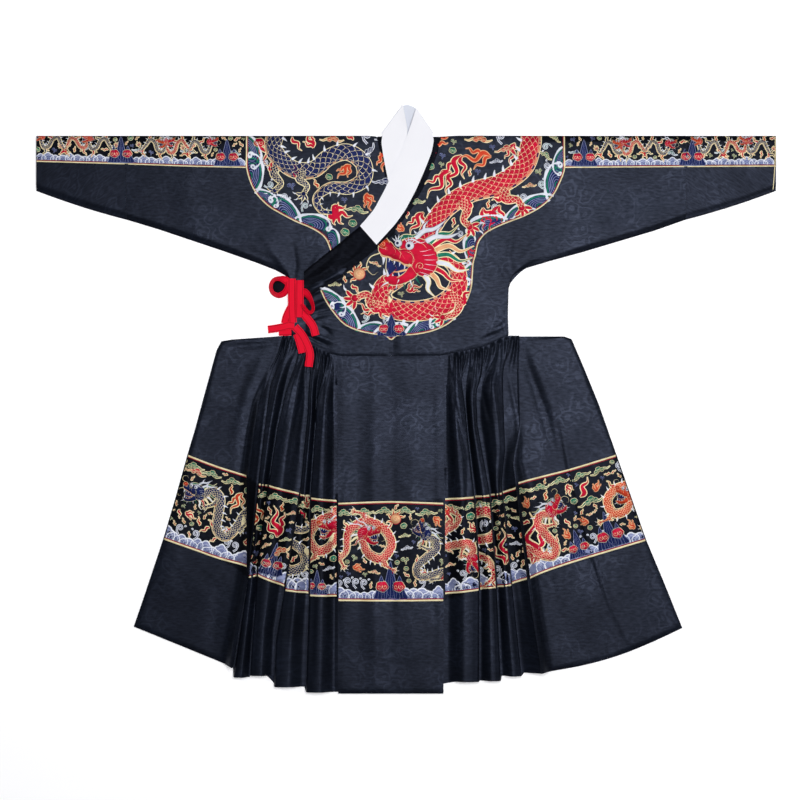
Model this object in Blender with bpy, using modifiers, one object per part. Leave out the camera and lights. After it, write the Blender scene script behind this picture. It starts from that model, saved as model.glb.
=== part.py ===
"""A pleated riding robe with crossed collar, laid flat with its front up.

Tables are in millimetres. X runs along the sleeves, Y from hem to collar, Z up from the surface
that the robe lies on. The viewer sees the wearer's right on the left. Every panel is an open
surface whose sections are worked out here, and a Solidify modifier gives it the cloth's wall.
"""

import math

import bmesh
import bpy
import numpy as np

MM = 0.001

# Driving dimensions
SPAN = 1702.0  # cuff to cuff
COLLAR_TOP = 678.0  # above the middle of the robe's length
HEM_LOW = -678.0
CLOTH = 1.5  # wall of a flat panel
PLEAT_CLOTH = 1.2
TAPE = 1.2  # wall of a tie
TAPE_WIDTH = 18.0
GAP = 0.3  # between panels that touch
FIN_GAP = 0.8  # where the fin meets the rising pleat

# Heights of each layer's underside
BACK_Z = 0.0
UNDER_Z = BACK_Z + CLOTH + GAP
OVER_Z = UNDER_Z + CLOTH + GAP
COLLAR_Z = OVER_Z + CLOTH + GAP
GUARD_Z = COLLAR_Z + CLOTH + GAP

# Places that panels share
CUFF_X = SPAN / 2
SLEEVE_SEAM = 644.0
FRONT_SEAM = -35.0
SHOULDER = 606.0
CUFF_LOW = 479.0
SIDE_LEFT = -265.0
SIDE_RIGHT = 236.0
LAPEL_SIDE = -235.0
PANEL_LEFT = -158.0
PANEL_RIGHT = 88.0
# The waist seam from side to side: x, y. It rises where the gathers begin.
WAIST_SEAM = [
    (-300, 146), (-262, 146), (-219, 126), (-195, 113), (-174, 104), (-150, 99),
    (80, 100), (119, 108), (155, 115), (186, 123), (207, 134), (234, 146), (300, 146),
]

# Each row is one section of a panel: low point x, y, then top point x, y. A low point given as
# None lies on the waist seam.
UNDER_FRONT = [
    (-SLEEVE_SEAM, 413, -SLEEVE_SEAM, SHOULDER),
    (-571, 391, -571, SHOULDER),
    (-419, 340, -430, SHOULDER),
    (-348, 315, -370, SHOULDER),
    (-301, 297, -320, SHOULDER),
    (-272, 281, -280, SHOULDER),
    (SIDE_LEFT, 262, -245, SHOULDER),
    (SIDE_LEFT, None, -160, SHOULDER),
    (-262, None, -140, SHOULDER),
    (-219, None, -110, SHOULDER),
    (-195, None, -85, SHOULDER),
    (-174, None, -66, SHOULDER - 2),
    (-150, None, -60, 585),
    (-60, None, -50, 560),
    (20, None, -20, 480),
    (80, None, 50, 370),
    (119, None, 110, 290),
    (150, None, 150, 235),
]
OVER_FRONT = [
    (FRONT_SEAM + GAP, None, FRONT_SEAM + GAP, 430),
    (40, None, 0, 482),
    (80, None, 30, 540),
    (119, None, 50, 575),
    (155, None, 72, SHOULDER - 3),
    (186, None, 120, SHOULDER),
    (207, None, 145, SHOULDER),
    (234, None, 165, SHOULDER),
    (SIDE_RIGHT, None, 180, SHOULDER),
    (SIDE_RIGHT - 2, 207, 210, SHOULDER),
    (SIDE_RIGHT, 258, 245, SHOULDER),
    (246, 285, 275, SHOULDER),
    (272, 300, 300, SHOULDER),
    (329, 317, 350, SHOULDER),
    (409, 339, 420, SHOULDER),
    (570, 387, 575, SHOULDER),
    (SLEEVE_SEAM, 413, SLEEVE_SEAM, SHOULDER),
]
OVERLAP = [
    (LAPEL_SIDE, None, LAPEL_SIDE, 258),
    (-219, None, -200, 286),
    (-195, None, -175, 304),
    (-174, None, -150, 322),
    (-150, None, -125, 340),
    (-110, None, -95, 364),
    (FRONT_SEAM, None, FRONT_SEAM, 430),
]
# The collar's rows give its outer edge, then its neck edge.
COLLAR_OVER = [
    (-235, 228, -235, 293),
    (-195, 254, -207, 317),
    (-134, 288, -148, 363),
    (-71, 339, -105, 399),
    (-35, 372, -70, 424),
    (-9, 404, -46, 446),
    (16, 436, -22, 470),
    (40, 481, 2, 505),
    (63, 532, 20, 548),
    (76, 568, 26, 580),
    (81, SHOULDER - 3, 30, SHOULDER - 3),
]
COLLAR_UNDER = [
    (-66, SHOULDER - 2, -20, SHOULDER - 2),
    (-64, 578, -20, 578),
    (-58, 545, -22, 545),
    (-50, 510, -30, 515),
]
COLLAR_BACK = [
    (-57, 604, -20, 654),
    (0, 604, 6, 657),
    (60, 604, 33, 652),
]
# The guard is one strip. Rows go from its end on the lapel, round the neck, to the under side:
# sewn edge x, y, free edge x, y, then the height of its middle.
GUARD = [
    (-68, 355, -106, 398, GUARD_Z),
    (-25, 402, -74, 435, GUARD_Z),
    (-2, 434, -51, 478, GUARD_Z),
    (23, 481, -38, 505, GUARD_Z),
    (46, 534, -21, 551, GUARD_Z),
    (59, 568, -5, 587, GUARD_Z),
    (64, 596, 7, 619, GUARD_Z),
    (60, 611, 22, 666, GUARD_Z),
    (60, 611, 22, 671, UNDER_Z),
    (0, 604, 3, COLLAR_TOP, UNDER_Z),
    (-54, 611, -7, 675, UNDER_Z),
    (-54, 611, -7, 675, COLLAR_Z),
    (-57, 590, 4, 617, COLLAR_Z),
    (-51, 551, -4, 580, COLLAR_Z),
    (-43, 515, -21, 535, COLLAR_Z),
]
# The free edge of each fin, from the waist to the hem: x, y
FIN_LEFT_EDGE = [
    (-400, 137), (-425, 133), (-436, 113), (-461, 22), (-486, -70), (-503, -127),
    (-530, -224), (-558, -319), (-601, -448), (-622, -527),
]
FIN_RIGHT_EDGE = [
    (364, 144), (381, 138), (409, 73), (444, -13), (484, -127), (518, -224), (552, -322),
    (597, -430), (633, -528),
]

# Outlines of the hidden back panels, from the shoulder round to the middle of the back
BACK_LEFT = [
    (FRONT_SEAM, 597),
    (-64, 603),
    (-SLEEVE_SEAM, SHOULDER),
    (-SLEEVE_SEAM, 415),
    (-419, 342),
    (-301, 299),
    (-266, 277),
    (-262, 146),
    (-330, -60),
    (-380, -600),
    (-300, -640),
    (FRONT_SEAM, -660),
]
BACK_RIGHT = [
    (FRONT_SEAM + GAP, -660),
    (200, -636),
    (296, -622),
    (245, 0),
    (234, 146),
    (236, 264),
    (272, 302),
    (409, 341),
    (SLEEVE_SEAM, 415),
    (SLEEVE_SEAM, SHOULDER),
    (72, 603),
    (FRONT_SEAM + GAP, 597),
]
FIN_LEFT_BACK = [
    (-267, 145),
    (-404, 135),
    (-424, 130),
    (-434, 112),
    (-500, -130),
    (-557, -322),
    (-621, -524),
    (-595, -538),
    (-486, -581),
    (-382, -618),
    (-382, -600),
    (-331, -60),
]
FIN_RIGHT_BACK = [
    (240, 144),
    (246, 0),
    (297, -622),
    (404, -607),
    (472, -592),
    (581, -547),
    (629, -522),
    (551, -322),
    (408, 72),
    (379, 138),
    (364, 142),
]

# Fold lines of the skirt, each from the waist seam to the hem: x, y. On the left the first line
# is where the flat fin turns into the pleats, and the others are the outer edges of the strips.
LEFT_FOLDS = [
    [(-284, 145), (-295, 104), (-313, 71), (-343, -17), (-356, -117), (-363, -178), (-362, -385), (-401, -617)],
    [(-270, 145), (-295, 85), (-311, 35), (-325, -70), (-339, -193), (-357, -361), (-365, -431), (-396, -640)],
    [(-246, 144), (-262, 80), (-276, 25), (-295, -61), (-316, -197), (-339, -371), (-353, -565), (-357, -636)],
    [(-217, 123), (-221, 71), (-226, -35), (-244, -218), (-273, -402), (-298, -555), (-302, -662)],
    [(-195, 112), (-204, 71), (-207, -52), (-219, -218), (-222, -451), (-229, -674)],
]
RIGHT_FOLDS = [
    [(261, 144), (257, 60), (261, -60), (249, -150), (267, -300), (291, -489), (313, -630)],
    [(234, 143), (221, 60), (227, -117), (219, -197), (230, -300), (240, -402), (265, -637)],
    [(182, 121), (160, 20), (164, -61), (192, -218), (206, -402), (217, -648)],
    [(134, 109), (128, 60), (142, -94), (156, -218), (168, -402), (167, -650)],
]
# For each strip: how far it is tucked in, as a share of its width, and its crest in millimetres
LEFT_STRIPS = [(0.32, 3.0), (0.34, 5.5), (0.30, 4.5), (0.30, 6.0)]
RIGHT_STRIPS = [(0.30, 6.5), (0.32, 4.5), (0.30, 6.0)]
PLEAT_MIDDLE = UNDER_Z + PLEAT_CLOTH / 2
INNER_TURN = 1.6  # radius where a pleat turns back under itself
OUTER_TURN = 3.4  # radius at its outer edge
PANEL_TUCK = 14.0  # how far the last strip runs under the middle panel
HIDDEN_BEND = 8.0  # how far it runs there before the waist seam levels out
GATHERED = 0.14  # share of the skirt's length over which the gathers open into pleats
GATHERS = 12
GATHER_LIFT = 5.0
# Sections of the skirt, closer together by the waist, as shares of the way down
SKIRT_LEVELS = [*np.linspace(0, 0.2, 7), *np.linspace(0.28, 1, 9)]

# Ties: middle line x, y, z and the roll of the tape in degrees
TIES = {
    "tie_upper_loop_left": [
        (-256, 258, 4.8, 0), (-266, 264, 5.6, 0), (-277, 273, 7.4, 16), (-290, 277, 9.0, 50),
        (-304, 274, 9.2, 60), (-311, 261, 9.2, 60), (-308, 246, 9.2, 60), (-295, 238, 9.0, 55),
        (-281, 246, 8.4, 40),
    ],
    "tie_upper_loop_right": [
        (-247, 245, 4.8, 0), (-237, 246, 8.2, 0), (-228, 242, 13.4, 35), (-218, 226, 14.4, 60),
        (-214, 207, 14.2, 60), (-222, 200, 11.6, 35), (-229, 210, 7.8, 0), (-235, 220, 6.6, 0),
    ],
    "tie_upper_strap_left": [
        (-262.6, 277, 7.4, 0), (-262.6, 266, 8.2, 0), (-262.6, 244, 7.2, 0), (-262, 212, 7.2, 0),
        (-258.5, 186, 5.8, 0),
    ],
    "tie_upper_strap_right": [
        (-244.4, 273, 8.2, 0), (-244.4, 260, 11.4, 0), (-244.4, 245, 12.0, 0), (-244.6, 218, 10.8, 0),
        (-245.5, 188, 8.8, 0),
    ],
    "tie_upper_tail": [(-239, 197, 6.0, 0), (-226, 181, 6.0, 0), (-214, 166, 6.0, 0), (-208, 147, 6.0, 0)],
    "tie_upper_end": [(-261, 217, 4.6, 0), (-272, 206, 4.3, 0), (-281, 190, 3.4, 10), (-285, 174, 1.5, 0)],
    "tie_lower_left": [
        (-318, 160, 1.4, 0), (-303, 162, 3.2, 0), (-286, 165, 4.9, 0), (-270, 169, 5.9, 0), (-257, 168, 6.2, 0),
    ],
    "tie_lower_under": [(-293, 156, 1.4, 0), (-280, 156, 2.6, 0), (-269, 156, 4.2, 0), (-264, 156, 4.3, 0)],
    "tie_lower_branch": [(-251, 150, 4.5, 0), (-246, 136, 5.8, 0), (-242, 122, 6.2, 0), (-238, 106, 8.2, 0)],
    "tie_lower_tail": [
        (-256, 166, 8.0, 0), (-241, 150, 7.6, 0), (-229, 128, 8.0, 0), (-221, 104, 9.8, 0), (-224, 74, 9.4, 0),
    ],
}

# Colours as linear values
SATIN = ("satin", (0.012, 0.015, 0.025), 0.45)
COTTON = ("cotton", (0.92, 0.92, 0.95), 0.8)
RED_TAPE = ("red_tape", (0.74, 0.008, 0.03), 0.6)


def finish(name, colour, rough):
    """A plain material for one part."""
    material = bpy.data.materials.new(name)
    material.use_nodes = True
    shader = material.node_tree.nodes["Principled BSDF"]
    shader.inputs["Base Color"].default_value = (*colour, 1)
    shader.inputs["Roughness"].default_value = rough
    shader.inputs["Metallic"].default_value = 0
    return material


def clear_scene():
    for obj in list(bpy.data.objects):
        bpy.data.objects.remove(obj, do_unlink=True)
    robe = bpy.data.collections.new("hanfu_robe")
    bpy.context.scene.collection.children.link(robe)
    return robe


def ease(value):
    """Goes smoothly from 0 to 1 as the value does."""
    value = np.clip(value, 0.0, 1.0)
    return value * value * (3 - 2 * value)


def place(name, mesh, robe, look):
    obj = bpy.data.objects.new(name, mesh)
    mesh.materials.append(finish(f"{look[0]}_{name}", look[1], look[2]))
    robe.objects.link(obj)
    return obj


def surface(name, points, robe, look, wall, side, closed=False):
    """An open surface over rows of points, made thick by Solidify. side is 1 for the wall above
    the points and 0 for half of it each way. A closed surface joins its last column to its first.
    Even offsets would make spikes where a pleat turns, so only level panels take them."""
    rows, columns = points.shape[:2]
    mesh = bpy.data.meshes.new(name)
    grid = bmesh.new()
    bmesh.ops.create_grid(grid, x_segments=columns - 1, y_segments=rows - 1, size=1)
    for vertex in grid.verts:
        column = round((vertex.co.x + 1) / 2 * (columns - 1))
        row = round((vertex.co.y + 1) / 2 * (rows - 1))
        vertex.co = points[row, column] * MM
    if closed:
        bmesh.ops.remove_doubles(grid, verts=grid.verts[:], dist=1e-7)
    grid.to_mesh(mesh)
    grid.free()
    obj = place(name, mesh, robe, look)
    wall_modifier = obj.modifiers.new("wall", "SOLIDIFY")
    wall_modifier.thickness = wall * MM
    wall_modifier.offset = side
    wall_modifier.use_even_offset = side == 1
    return obj


def panel(name, rows, height, robe, look=SATIN, across=6):
    """A panel between its low and top edges, whose underside lies at height(x, y)."""
    rows = [(a, waist(a) + GAP if b is None else b, c, d) for a, b, c, d in rows]
    ends = np.array(rows, float)
    low, top = ends[:, :2], ends[:, 2:4]
    share = np.linspace(0, 1, across + 1)[:, None, None]
    flat = low * (1 - share) + top * share
    z = height(flat[..., 0], flat[..., 1])
    points = np.concatenate([flat, z[..., None]], axis=2)
    turn = np.cross(points[0, 1] - points[0, 0], points[1, 0] - points[0, 0])[2]
    if turn < 0:
        points = points[:, ::-1]
    return surface(name, points, robe, look, CLOTH, 1)


def waist(x):
    """The height of the waist seam on the page at x."""
    seam_x, seam_y = zip(*WAIST_SEAM)
    return np.interp(x, seam_x, seam_y)


def at(level):
    """A height function for a panel that lies level."""
    return lambda x, y: np.full_like(x, level)


def over_height(x, y):
    """The over front lies on the under front, and on the back beyond it."""
    return OVER_Z - (OVER_Z - UNDER_Z) * ease((x - 160) / 60)


def plate(name, outline, robe):
    """A hidden flat panel, from its outline as a filled curve."""
    curve = bpy.data.curves.new(name, "CURVE")
    curve.dimensions = "2D"
    curve.fill_mode = "BOTH"
    curve.extrude = CLOTH / 2 * MM
    line = curve.splines.new("POLY")
    line.points.add(len(outline) - 1)
    for point, (x, y) in zip(line.points, outline):
        point.co = (x * MM, y * MM, 0, 1)
    line.use_cyclic_u = True
    obj = place(name, curve, robe, SATIN)
    obj.location.z = (BACK_Z + CLOTH / 2) * MM
    return obj


def sleeve(name, side, robe):
    """The outer sleeve: a flattened tube from the seam to the open cuff."""
    start, end = SLEEVE_SEAM + GAP, CUFF_X
    floor, lift = BACK_Z + CLOTH / 2, UNDER_Z + CLOTH / 2 + 0.9
    turn = (lift - floor) / 2
    stations = np.linspace(start, end, 6)
    share = (stations - start) / (end - start)
    low = 413 + (CUFF_LOW - 413) * (0.8 * share + 0.2 * share**2)
    rows = []
    for x, y_low in zip(stations, low):
        width = SHOULDER - y_low
        section = []
        for k in range(5):
            angle = math.radians(90 + 45 * k)
            section.append((y_low + turn + CLOTH / 2 + turn * math.cos(angle), floor + turn + turn * math.sin(angle)))
        for k in range(5):
            angle = math.radians(-90 + 45 * k)
            section.append((SHOULDER - turn - CLOTH / 2 + turn * math.cos(angle), floor + turn + turn * math.sin(angle)))
        for k in (1, 2, 3):
            section.append((SHOULDER - width * k / 4, lift + 0.8 * math.sin(math.pi * k / 4)))
        section.append(section[0])
        rows.append([(side * x, y, z) for y, z in section])
    points = np.array(rows)
    if side < 0:
        points = points[::-1]
    return surface(name, points, robe, SATIN, CLOTH, 0, closed=True)


def line_at(line, share):
    """The point of a fold line at this share of its way from waist to hem."""
    x, y = np.array(line, float).T
    level = y[0] + (y[-1] - y[0]) * share
    return np.interp(-level, -y, x), level


def fin(name, edge, fold, side, robe):
    """A flat side fin between its free edge and the line where it turns into the pleats."""
    edge = np.array(edge, float)
    rows = []
    for share in SKIRT_LEVELS:
        free = [np.interp(share * (len(edge) - 1), range(len(edge)), edge[:, k]) for k in (0, 1)]
        x, y = line_at(fold, share)
        rows.append((x - side * FIN_GAP, y, *free))
    return panel(name, rows, at(UNDER_Z), robe, across=2)


def strip_section(edge, width, tuck, crest):
    """One pleat as (way inwards, height): under the strip, back out, round its edge, and over its
    face down to the next."""
    depth = tuck * width
    outer = min(OUTER_TURN, 0.3 * width)
    back = PLEAT_MIDDLE + 2 * INNER_TURN
    path = [(edge - 1.5, PLEAT_MIDDLE)]
    for degrees in (-90, -30, 30, 90):
        a = math.radians(degrees)
        path.append((edge + depth + INNER_TURN * math.cos(a), PLEAT_MIDDLE + INNER_TURN * (1 + math.sin(a))))
    for degrees in (270, 225, 180, 135, 90):
        a = math.radians(degrees)
        path.append((edge + outer * (1 + math.cos(a)), back + outer * (1 + math.sin(a))))
    top = back + 2 * outer
    for share in (0.3, 0.55, 0.8):
        fall = (top - PLEAT_MIDDLE) * ease((share - 0.1) / 0.9)
        belly = crest * math.sin(math.pi * min(share / 0.85, 1)) ** 0.8
        path.append((edge + width * share, top - fall + belly))
    return path


def pleats(name, folds, strips, panel_edge, side, robe):
    """Knife pleats between the fin and the middle panel. side is 1 where inwards is +X."""
    rows = []
    tops = [x for (x, _), *_ in folds]
    for share in SKIRT_LEVELS:
        lines = [line_at(fold, share) for fold in folds]
        start = lines[0][0]
        edges = [side * (x - start) for x, _ in lines[1:]]
        end = side * (panel_edge - start)
        ridge = min(6.0, 0.4 * edges[0])
        path = [(0, 0), (0.25 * ridge, 0.1), (0.6 * ridge, 0.5 * ridge), (ridge, 0.4 * ridge)]
        path = [(a, PLEAT_MIDDLE + b) for a, b in path]
        hems = [folds[0][-1][1]] * len(path)
        for k, (tuck, crest) in enumerate(strips):
            width = ([*edges, end][k + 1]) - edges[k]
            bend = strip_section(edges[k], width, tuck, crest * (1 - 0.35 * share))
            path += bend
            hems += [folds[k + 1][-1][1]] * len(bend)
        path += [(end - 4, PLEAT_MIDDLE + 0.3), (end + HIDDEN_BEND, PLEAT_MIDDLE), (end + PANEL_TUCK, PLEAT_MIDDLE)]
        hems += [hems[-1]] * 3
        way, z = np.array(path).T
        seen = np.minimum(np.arange(len(way)) / (len(way) - 3), 1)
        gathered_way = (end - 4) * seen
        gathered_way[-2:] = way[-2:]
        opened = ease(share / GATHERED)
        calm = ease((end - 8 - gathered_way) / 10)
        wave = GATHER_LIFT / 2 * (1 - np.cos(2 * math.pi * GATHERS * seen)) * calm
        gathered_z = PLEAT_MIDDLE + wave * ease(share / 0.02) * math.exp(-share / 0.09)
        top_x = tops[0] + side * gathered_way * (panel_edge - tops[0]) / (panel_edge - start)
        x = start + side * (gathered_way * (1 - opened) + way * opened)
        y = (waist(top_x) - GAP) * (1 - share) + np.array(hems) * share
        z = gathered_z * (1 - opened) + z * opened
        rows.append(np.column_stack([x, y, z]))
    points = np.array(rows)[::-1]
    if side < 0:
        points = points[:, ::-1]
    return surface(name, points, robe, SATIN, PLEAT_CLOTH, 0)


def ribbon(name, points, width, wall, robe, look, steps=4):
    """A tape along a smooth line. Each point is x, y, z and the roll of its width in degrees."""
    nodes = np.array(points, float)
    nodes = np.vstack([2 * nodes[0] - nodes[1], nodes, 2 * nodes[-1] - nodes[-2]])
    path = []
    for k in range(1, len(nodes) - 2):
        a, b, c, d = nodes[k - 1 : k + 3]
        for share in np.linspace(0, 1, steps, endpoint=False):
            path.append(
                0.5 * (2 * b + (c - a) * share + (2 * a - 5 * b + 4 * c - d) * share**2
                       + (3 * b - a - 3 * c + d) * share**3)
            )
    path.append(nodes[-2])
    path = np.array(path)
    ahead = np.gradient(path[:, :2], axis=0)
    ahead /= np.linalg.norm(ahead, axis=1)[:, None]
    roll = np.radians(path[:, 3])
    half = width / 2
    reach = np.column_stack([-ahead[:, 1] * np.cos(roll), ahead[:, 0] * np.cos(roll), np.sin(roll)]) * half
    middle = path[:, :3]
    rows = np.stack([middle - reach, middle, middle + reach])
    return surface(name, rows, robe, look, wall, 0)


def guard(robe):
    """The white strip round the neck, folded over at both sides of the neck."""
    rows = []
    for k, (sewn_x, sewn_y, free_x, free_y, z) in enumerate(GUARD):
        rows.append((sewn_x, sewn_y, z + CLOTH / 2, free_x, free_y, z + CLOTH / 2))
        if k + 1 < len(GUARD) and GUARD[k + 1][4] != z and GUARD[k + 1][1] == sewn_y:
            turn = (GUARD[k + 1][4] - z) / 2
            outward = 1 if z > UNDER_Z else -1
            for degrees in (45, 90, 135):
                a = math.radians(degrees)
                out = outward * abs(turn) * math.sin(a)
                height = z + CLOTH / 2 + turn * (1 - math.cos(a))
                rows.append((sewn_x + out, sewn_y + 0.6 * abs(out), height, free_x + out, free_y + 0.6 * abs(out), height))
    ends = np.array(rows)
    share = np.linspace(0, 1, 4)[:, None, None]
    points = ends[:, :3] * (1 - share) + ends[:, 3:] * share
    return surface("collar_guard", points, robe, COTTON, CLOTH, 0)


def main():
    robe = clear_scene()
    plate("back_left", BACK_LEFT, robe)
    plate("back_right", BACK_RIGHT, robe)
    plate("fin_left_back", FIN_LEFT_BACK, robe)
    plate("fin_right_back", FIN_RIGHT_BACK, robe)
    fin("fin_left", FIN_LEFT_EDGE, LEFT_FOLDS[0], 1, robe)
    fin("fin_right", FIN_RIGHT_EDGE, RIGHT_FOLDS[0], -1, robe)
    panel("front_right", UNDER_FRONT, at(UNDER_Z), robe, across=2)
    panel("front_left", OVER_FRONT, over_height, robe)
    panel("front_overlap", OVERLAP, at(OVER_Z), robe, across=2)
    panel("collar_over", COLLAR_OVER, at(COLLAR_Z), robe, across=2)
    panel("collar_under", COLLAR_UNDER, at(OVER_Z), robe, across=1)
    panel("collar_back", COLLAR_BACK, at(BACK_Z), robe, across=1)
    guard(robe)
    sleeve("sleeve_left", -1, robe)
    sleeve("sleeve_right", 1, robe)
    middle = [
        (PANEL_LEFT + 2, HEM_LOW, PANEL_LEFT, waist(PANEL_LEFT) - GAP),
        (PANEL_LEFT + 8, HEM_LOW, PANEL_LEFT + 8, waist(PANEL_LEFT + 8) - GAP),
        (-36, HEM_LOW, -36, waist(-36) - GAP),
        (PANEL_RIGHT - 8, HEM_LOW, PANEL_RIGHT - 8, waist(PANEL_RIGHT - 8) - GAP),
        (PANEL_RIGHT - 2, HEM_LOW, PANEL_RIGHT, waist(PANEL_RIGHT - 8) - GAP),
    ]
    panel("skirt_panel", middle, at(OVER_Z), robe, across=4)
    pleats("pleats_left", LEFT_FOLDS, LEFT_STRIPS, PANEL_LEFT, 1, robe)
    pleats("pleats_right", RIGHT_FOLDS, RIGHT_STRIPS, PANEL_RIGHT, -1, robe)
    for name, route in TIES.items():
        ribbon(name, route, TAPE_WIDTH, TAPE, robe, RED_TAPE)


main()
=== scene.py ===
# %% [markdown]
# # A pleated riding robe with a crossed collar, laid flat
# The robe is dark navy damask satin with a white guard over its collar, two red tape ties on the
# side, and bands of silk embroidery. It lies on a pale table with its front up, so the viewer
# sees the wearer's right on the left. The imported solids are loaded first. They say where every
# panel is, and nothing here changes their size.

# %% Load the robe's solids
import math
from functools import partial

import bpy
import numpy as np
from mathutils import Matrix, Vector
from mathutils.bvhtree import BVHTree
from mathutils.kdtree import KDTree


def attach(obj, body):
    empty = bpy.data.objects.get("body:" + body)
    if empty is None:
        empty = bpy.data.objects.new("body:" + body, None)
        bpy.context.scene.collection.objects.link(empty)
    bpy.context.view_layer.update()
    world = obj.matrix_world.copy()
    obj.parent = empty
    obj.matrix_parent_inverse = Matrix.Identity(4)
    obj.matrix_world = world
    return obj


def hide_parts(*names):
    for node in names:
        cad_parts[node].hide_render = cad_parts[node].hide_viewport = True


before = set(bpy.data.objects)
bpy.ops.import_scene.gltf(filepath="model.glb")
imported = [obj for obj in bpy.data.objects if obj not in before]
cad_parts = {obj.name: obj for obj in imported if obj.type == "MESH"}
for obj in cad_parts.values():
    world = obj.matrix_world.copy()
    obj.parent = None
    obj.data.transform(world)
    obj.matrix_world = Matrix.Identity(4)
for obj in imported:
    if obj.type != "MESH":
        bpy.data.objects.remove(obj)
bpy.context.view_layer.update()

# %% [markdown]
# ## Sizes that the pieces share
# Lengths are in millimetres, as a maker would note them: X along the sleeves, Y from hem to
# collar, Z up from the table. These are the same named values and tables as in the part's
# source, so that the thin cloth below lies exactly where the solids are.

# %% Sizes and seam lines
MM = 0.001
CLOTH = 1.5
PLEAT_CLOTH = 1.2
TAPE = 1.2
TAPE_WIDTH = 18.0
GAP = 0.3
BACK_Z = 0.0
UNDER_Z = BACK_Z + CLOTH + GAP
OVER_Z = UNDER_Z + CLOTH + GAP
COLLAR_Z = OVER_Z + CLOTH + GAP
GUARD_Z = COLLAR_Z + CLOTH + GAP
CUFF_X = 851.0
SLEEVE_SEAM = 644.0
FRONT_SEAM = -35.0
SHOULDER = 606.0
CUFF_LOW = 479.0
HEM_LOW = -678.0
COLLAR_TOP = 678.0
SIDE_LEFT = -265.0
SIDE_RIGHT = 236.0
LAPEL_SIDE = -235.0
PANEL_LEFT = -158.0
PANEL_RIGHT = 88.0
WAIST_SEAM = [
    (-300, 146), (-262, 146), (-219, 126), (-195, 113), (-174, 104), (-150, 99),
    (80, 100), (119, 108), (155, 115), (186, 123), (207, 134), (234, 146), (300, 146),
]


def waist(x):
    """The waist seam's place on the page at x."""
    return np.interp(x, *zip(*WAIST_SEAM))


def ease(value):
    """Goes smoothly from 0 to 1 as the value does."""
    value = np.clip(value, 0.0, 1.0)
    return value * value * (3 - 2 * value)


def lengths(path):
    """How far along its way each point of a path lies, on the page or in space."""
    steps = np.diff(path, axis=0)
    far = np.hypot(*steps.T) if steps.shape[1] == 2 else np.linalg.norm(steps, axis=1)
    return np.concatenate([[0], np.cumsum(far)])


def heading(way):
    """The direction of a step on the page, in degrees."""
    return math.degrees(math.atan2(way[1], way[0]))


def paired(first, second):
    """Two values at each point of a grid, which say where it lies in the flat cloth."""
    return np.stack(np.broadcast_arrays(first, second), axis=-1)


print("cuff to cuff:", 2 * CUFF_X, "mm, collar to hem:", COLLAR_TOP - HEM_LOW, "mm")

# %% [markdown]
# ## Table, camera and light
# The photograph looks straight down, and one of its pixels is 2.3 mm of robe. A long lens from
# five metres up gives that frame with almost no perspective. One wide softbox overhead keeps
# level satin lit and lets the sides of each fold go dark. A dim room fills the shadows.

# %% Stage
def tint(code):
    """An sRGB hex colour as linear values with full alpha."""
    parts = [int(code[k : k + 2], 16) / 255 for k in (1, 3, 5)]
    linear = [p / 12.92 if p <= 0.04045 else ((p + 0.055) / 1.055) ** 2.4 for p in parts]
    return (*linear, 1.0)


def feed(made, inputs):
    """Sets a node's inputs. A value may be a socket, or a node whose first output feeds it."""
    for socket, value in inputs.items():
        if isinstance(value, bpy.types.Node):
            value = value.outputs[0]
        if isinstance(value, bpy.types.NodeSocket):
            made.id_data.links.new(value, made.inputs[socket])
        else:
            made.inputs[socket].default_value = value


def node(tree, kind, inputs=None, **settings):
    """Adds one shader node with its settings and inputs."""
    made = tree.nodes.new("ShaderNode" + kind)
    for name, value in settings.items():
        setattr(made, name, value)
    feed(made, inputs or {})
    return made


def blank(name):
    """A new material, what adds a node to it, and the Principled shader on its output."""
    material = bpy.data.materials.new(name)
    material.use_nodes = True
    material.node_tree.nodes.clear()
    add = partial(node, material.node_tree)
    shader = add("BsdfPrincipled")
    add("OutputMaterial", {0: shader})
    return material, add, shader


ROBE_MIDDLE = Vector((-0.014, 0, 0))


def softbox(name, x, y, z, size, watts):
    """A square light at x, y, z in metres that points at the robe's middle."""
    bpy.ops.object.light_add(type="AREA", location=(x, y, z))
    light = bpy.context.object
    light.name = name
    light.data.size = size
    light.data.energy = watts
    light.rotation_euler = (ROBE_MIDDLE - light.location).to_track_quat("-Z", "Y").to_euler()
    light.visible_camera = False


bpy.ops.object.select_all(action="DESELECT")
bpy.ops.object.camera_add(location=(-0.014, -0.0023, 5.119), rotation=(0, 0, 0))
camera = bpy.context.object
camera.data.lens = 100
camera.data.sensor_width = 36
bpy.context.scene.camera = camera
softbox("softbox_overhead", 0.6, 0.45, 4.3, 2.6, 172)
softbox("softbox_left", -3.2, 1.2, 1.9, 1.2, 22)
softbox("softbox_right", 3.2, 0.4, 2.0, 1.2, 14)
world = bpy.data.worlds.new("pale_room")
world.use_nodes = True
feed(world.node_tree.nodes["Background"], {0: tint("#EEF1F6"), 1: 0.075})
bpy.context.scene.world = world
bpy.context.scene.view_settings.view_transform = "Standard"
bpy.ops.mesh.primitive_plane_add(size=9, location=(0, 0, -0.0004))
table = bpy.context.object
table.name = "pale_table"
paper, add, shader = blank("matt_white_paper")
feed(shader, {
    "Base Color": tint("#FBFBFC"), "Roughness": 0.95, "Specular IOR Level": 0.1,
    "Emission Color": tint("#FBFBFF"), "Emission Strength": 0.22,
})
table.data.materials.append(paper)
print("camera", round(camera.location.z, 3), "m up with a", camera.data.lens, "mm lens")

# %% [markdown]
# ## Finishes
# Damask satin is woven in one colour, and its cloud figure shows only because it takes the light
# in another way than its ground. So the figure changes the roughness and a little of the colour.
# The bands are woven on a blacker ground. Each cloth piece has its flat cut as UV in metres and
# an attribute called band that is 1 where that ground lies, so one material serves them all.

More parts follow.
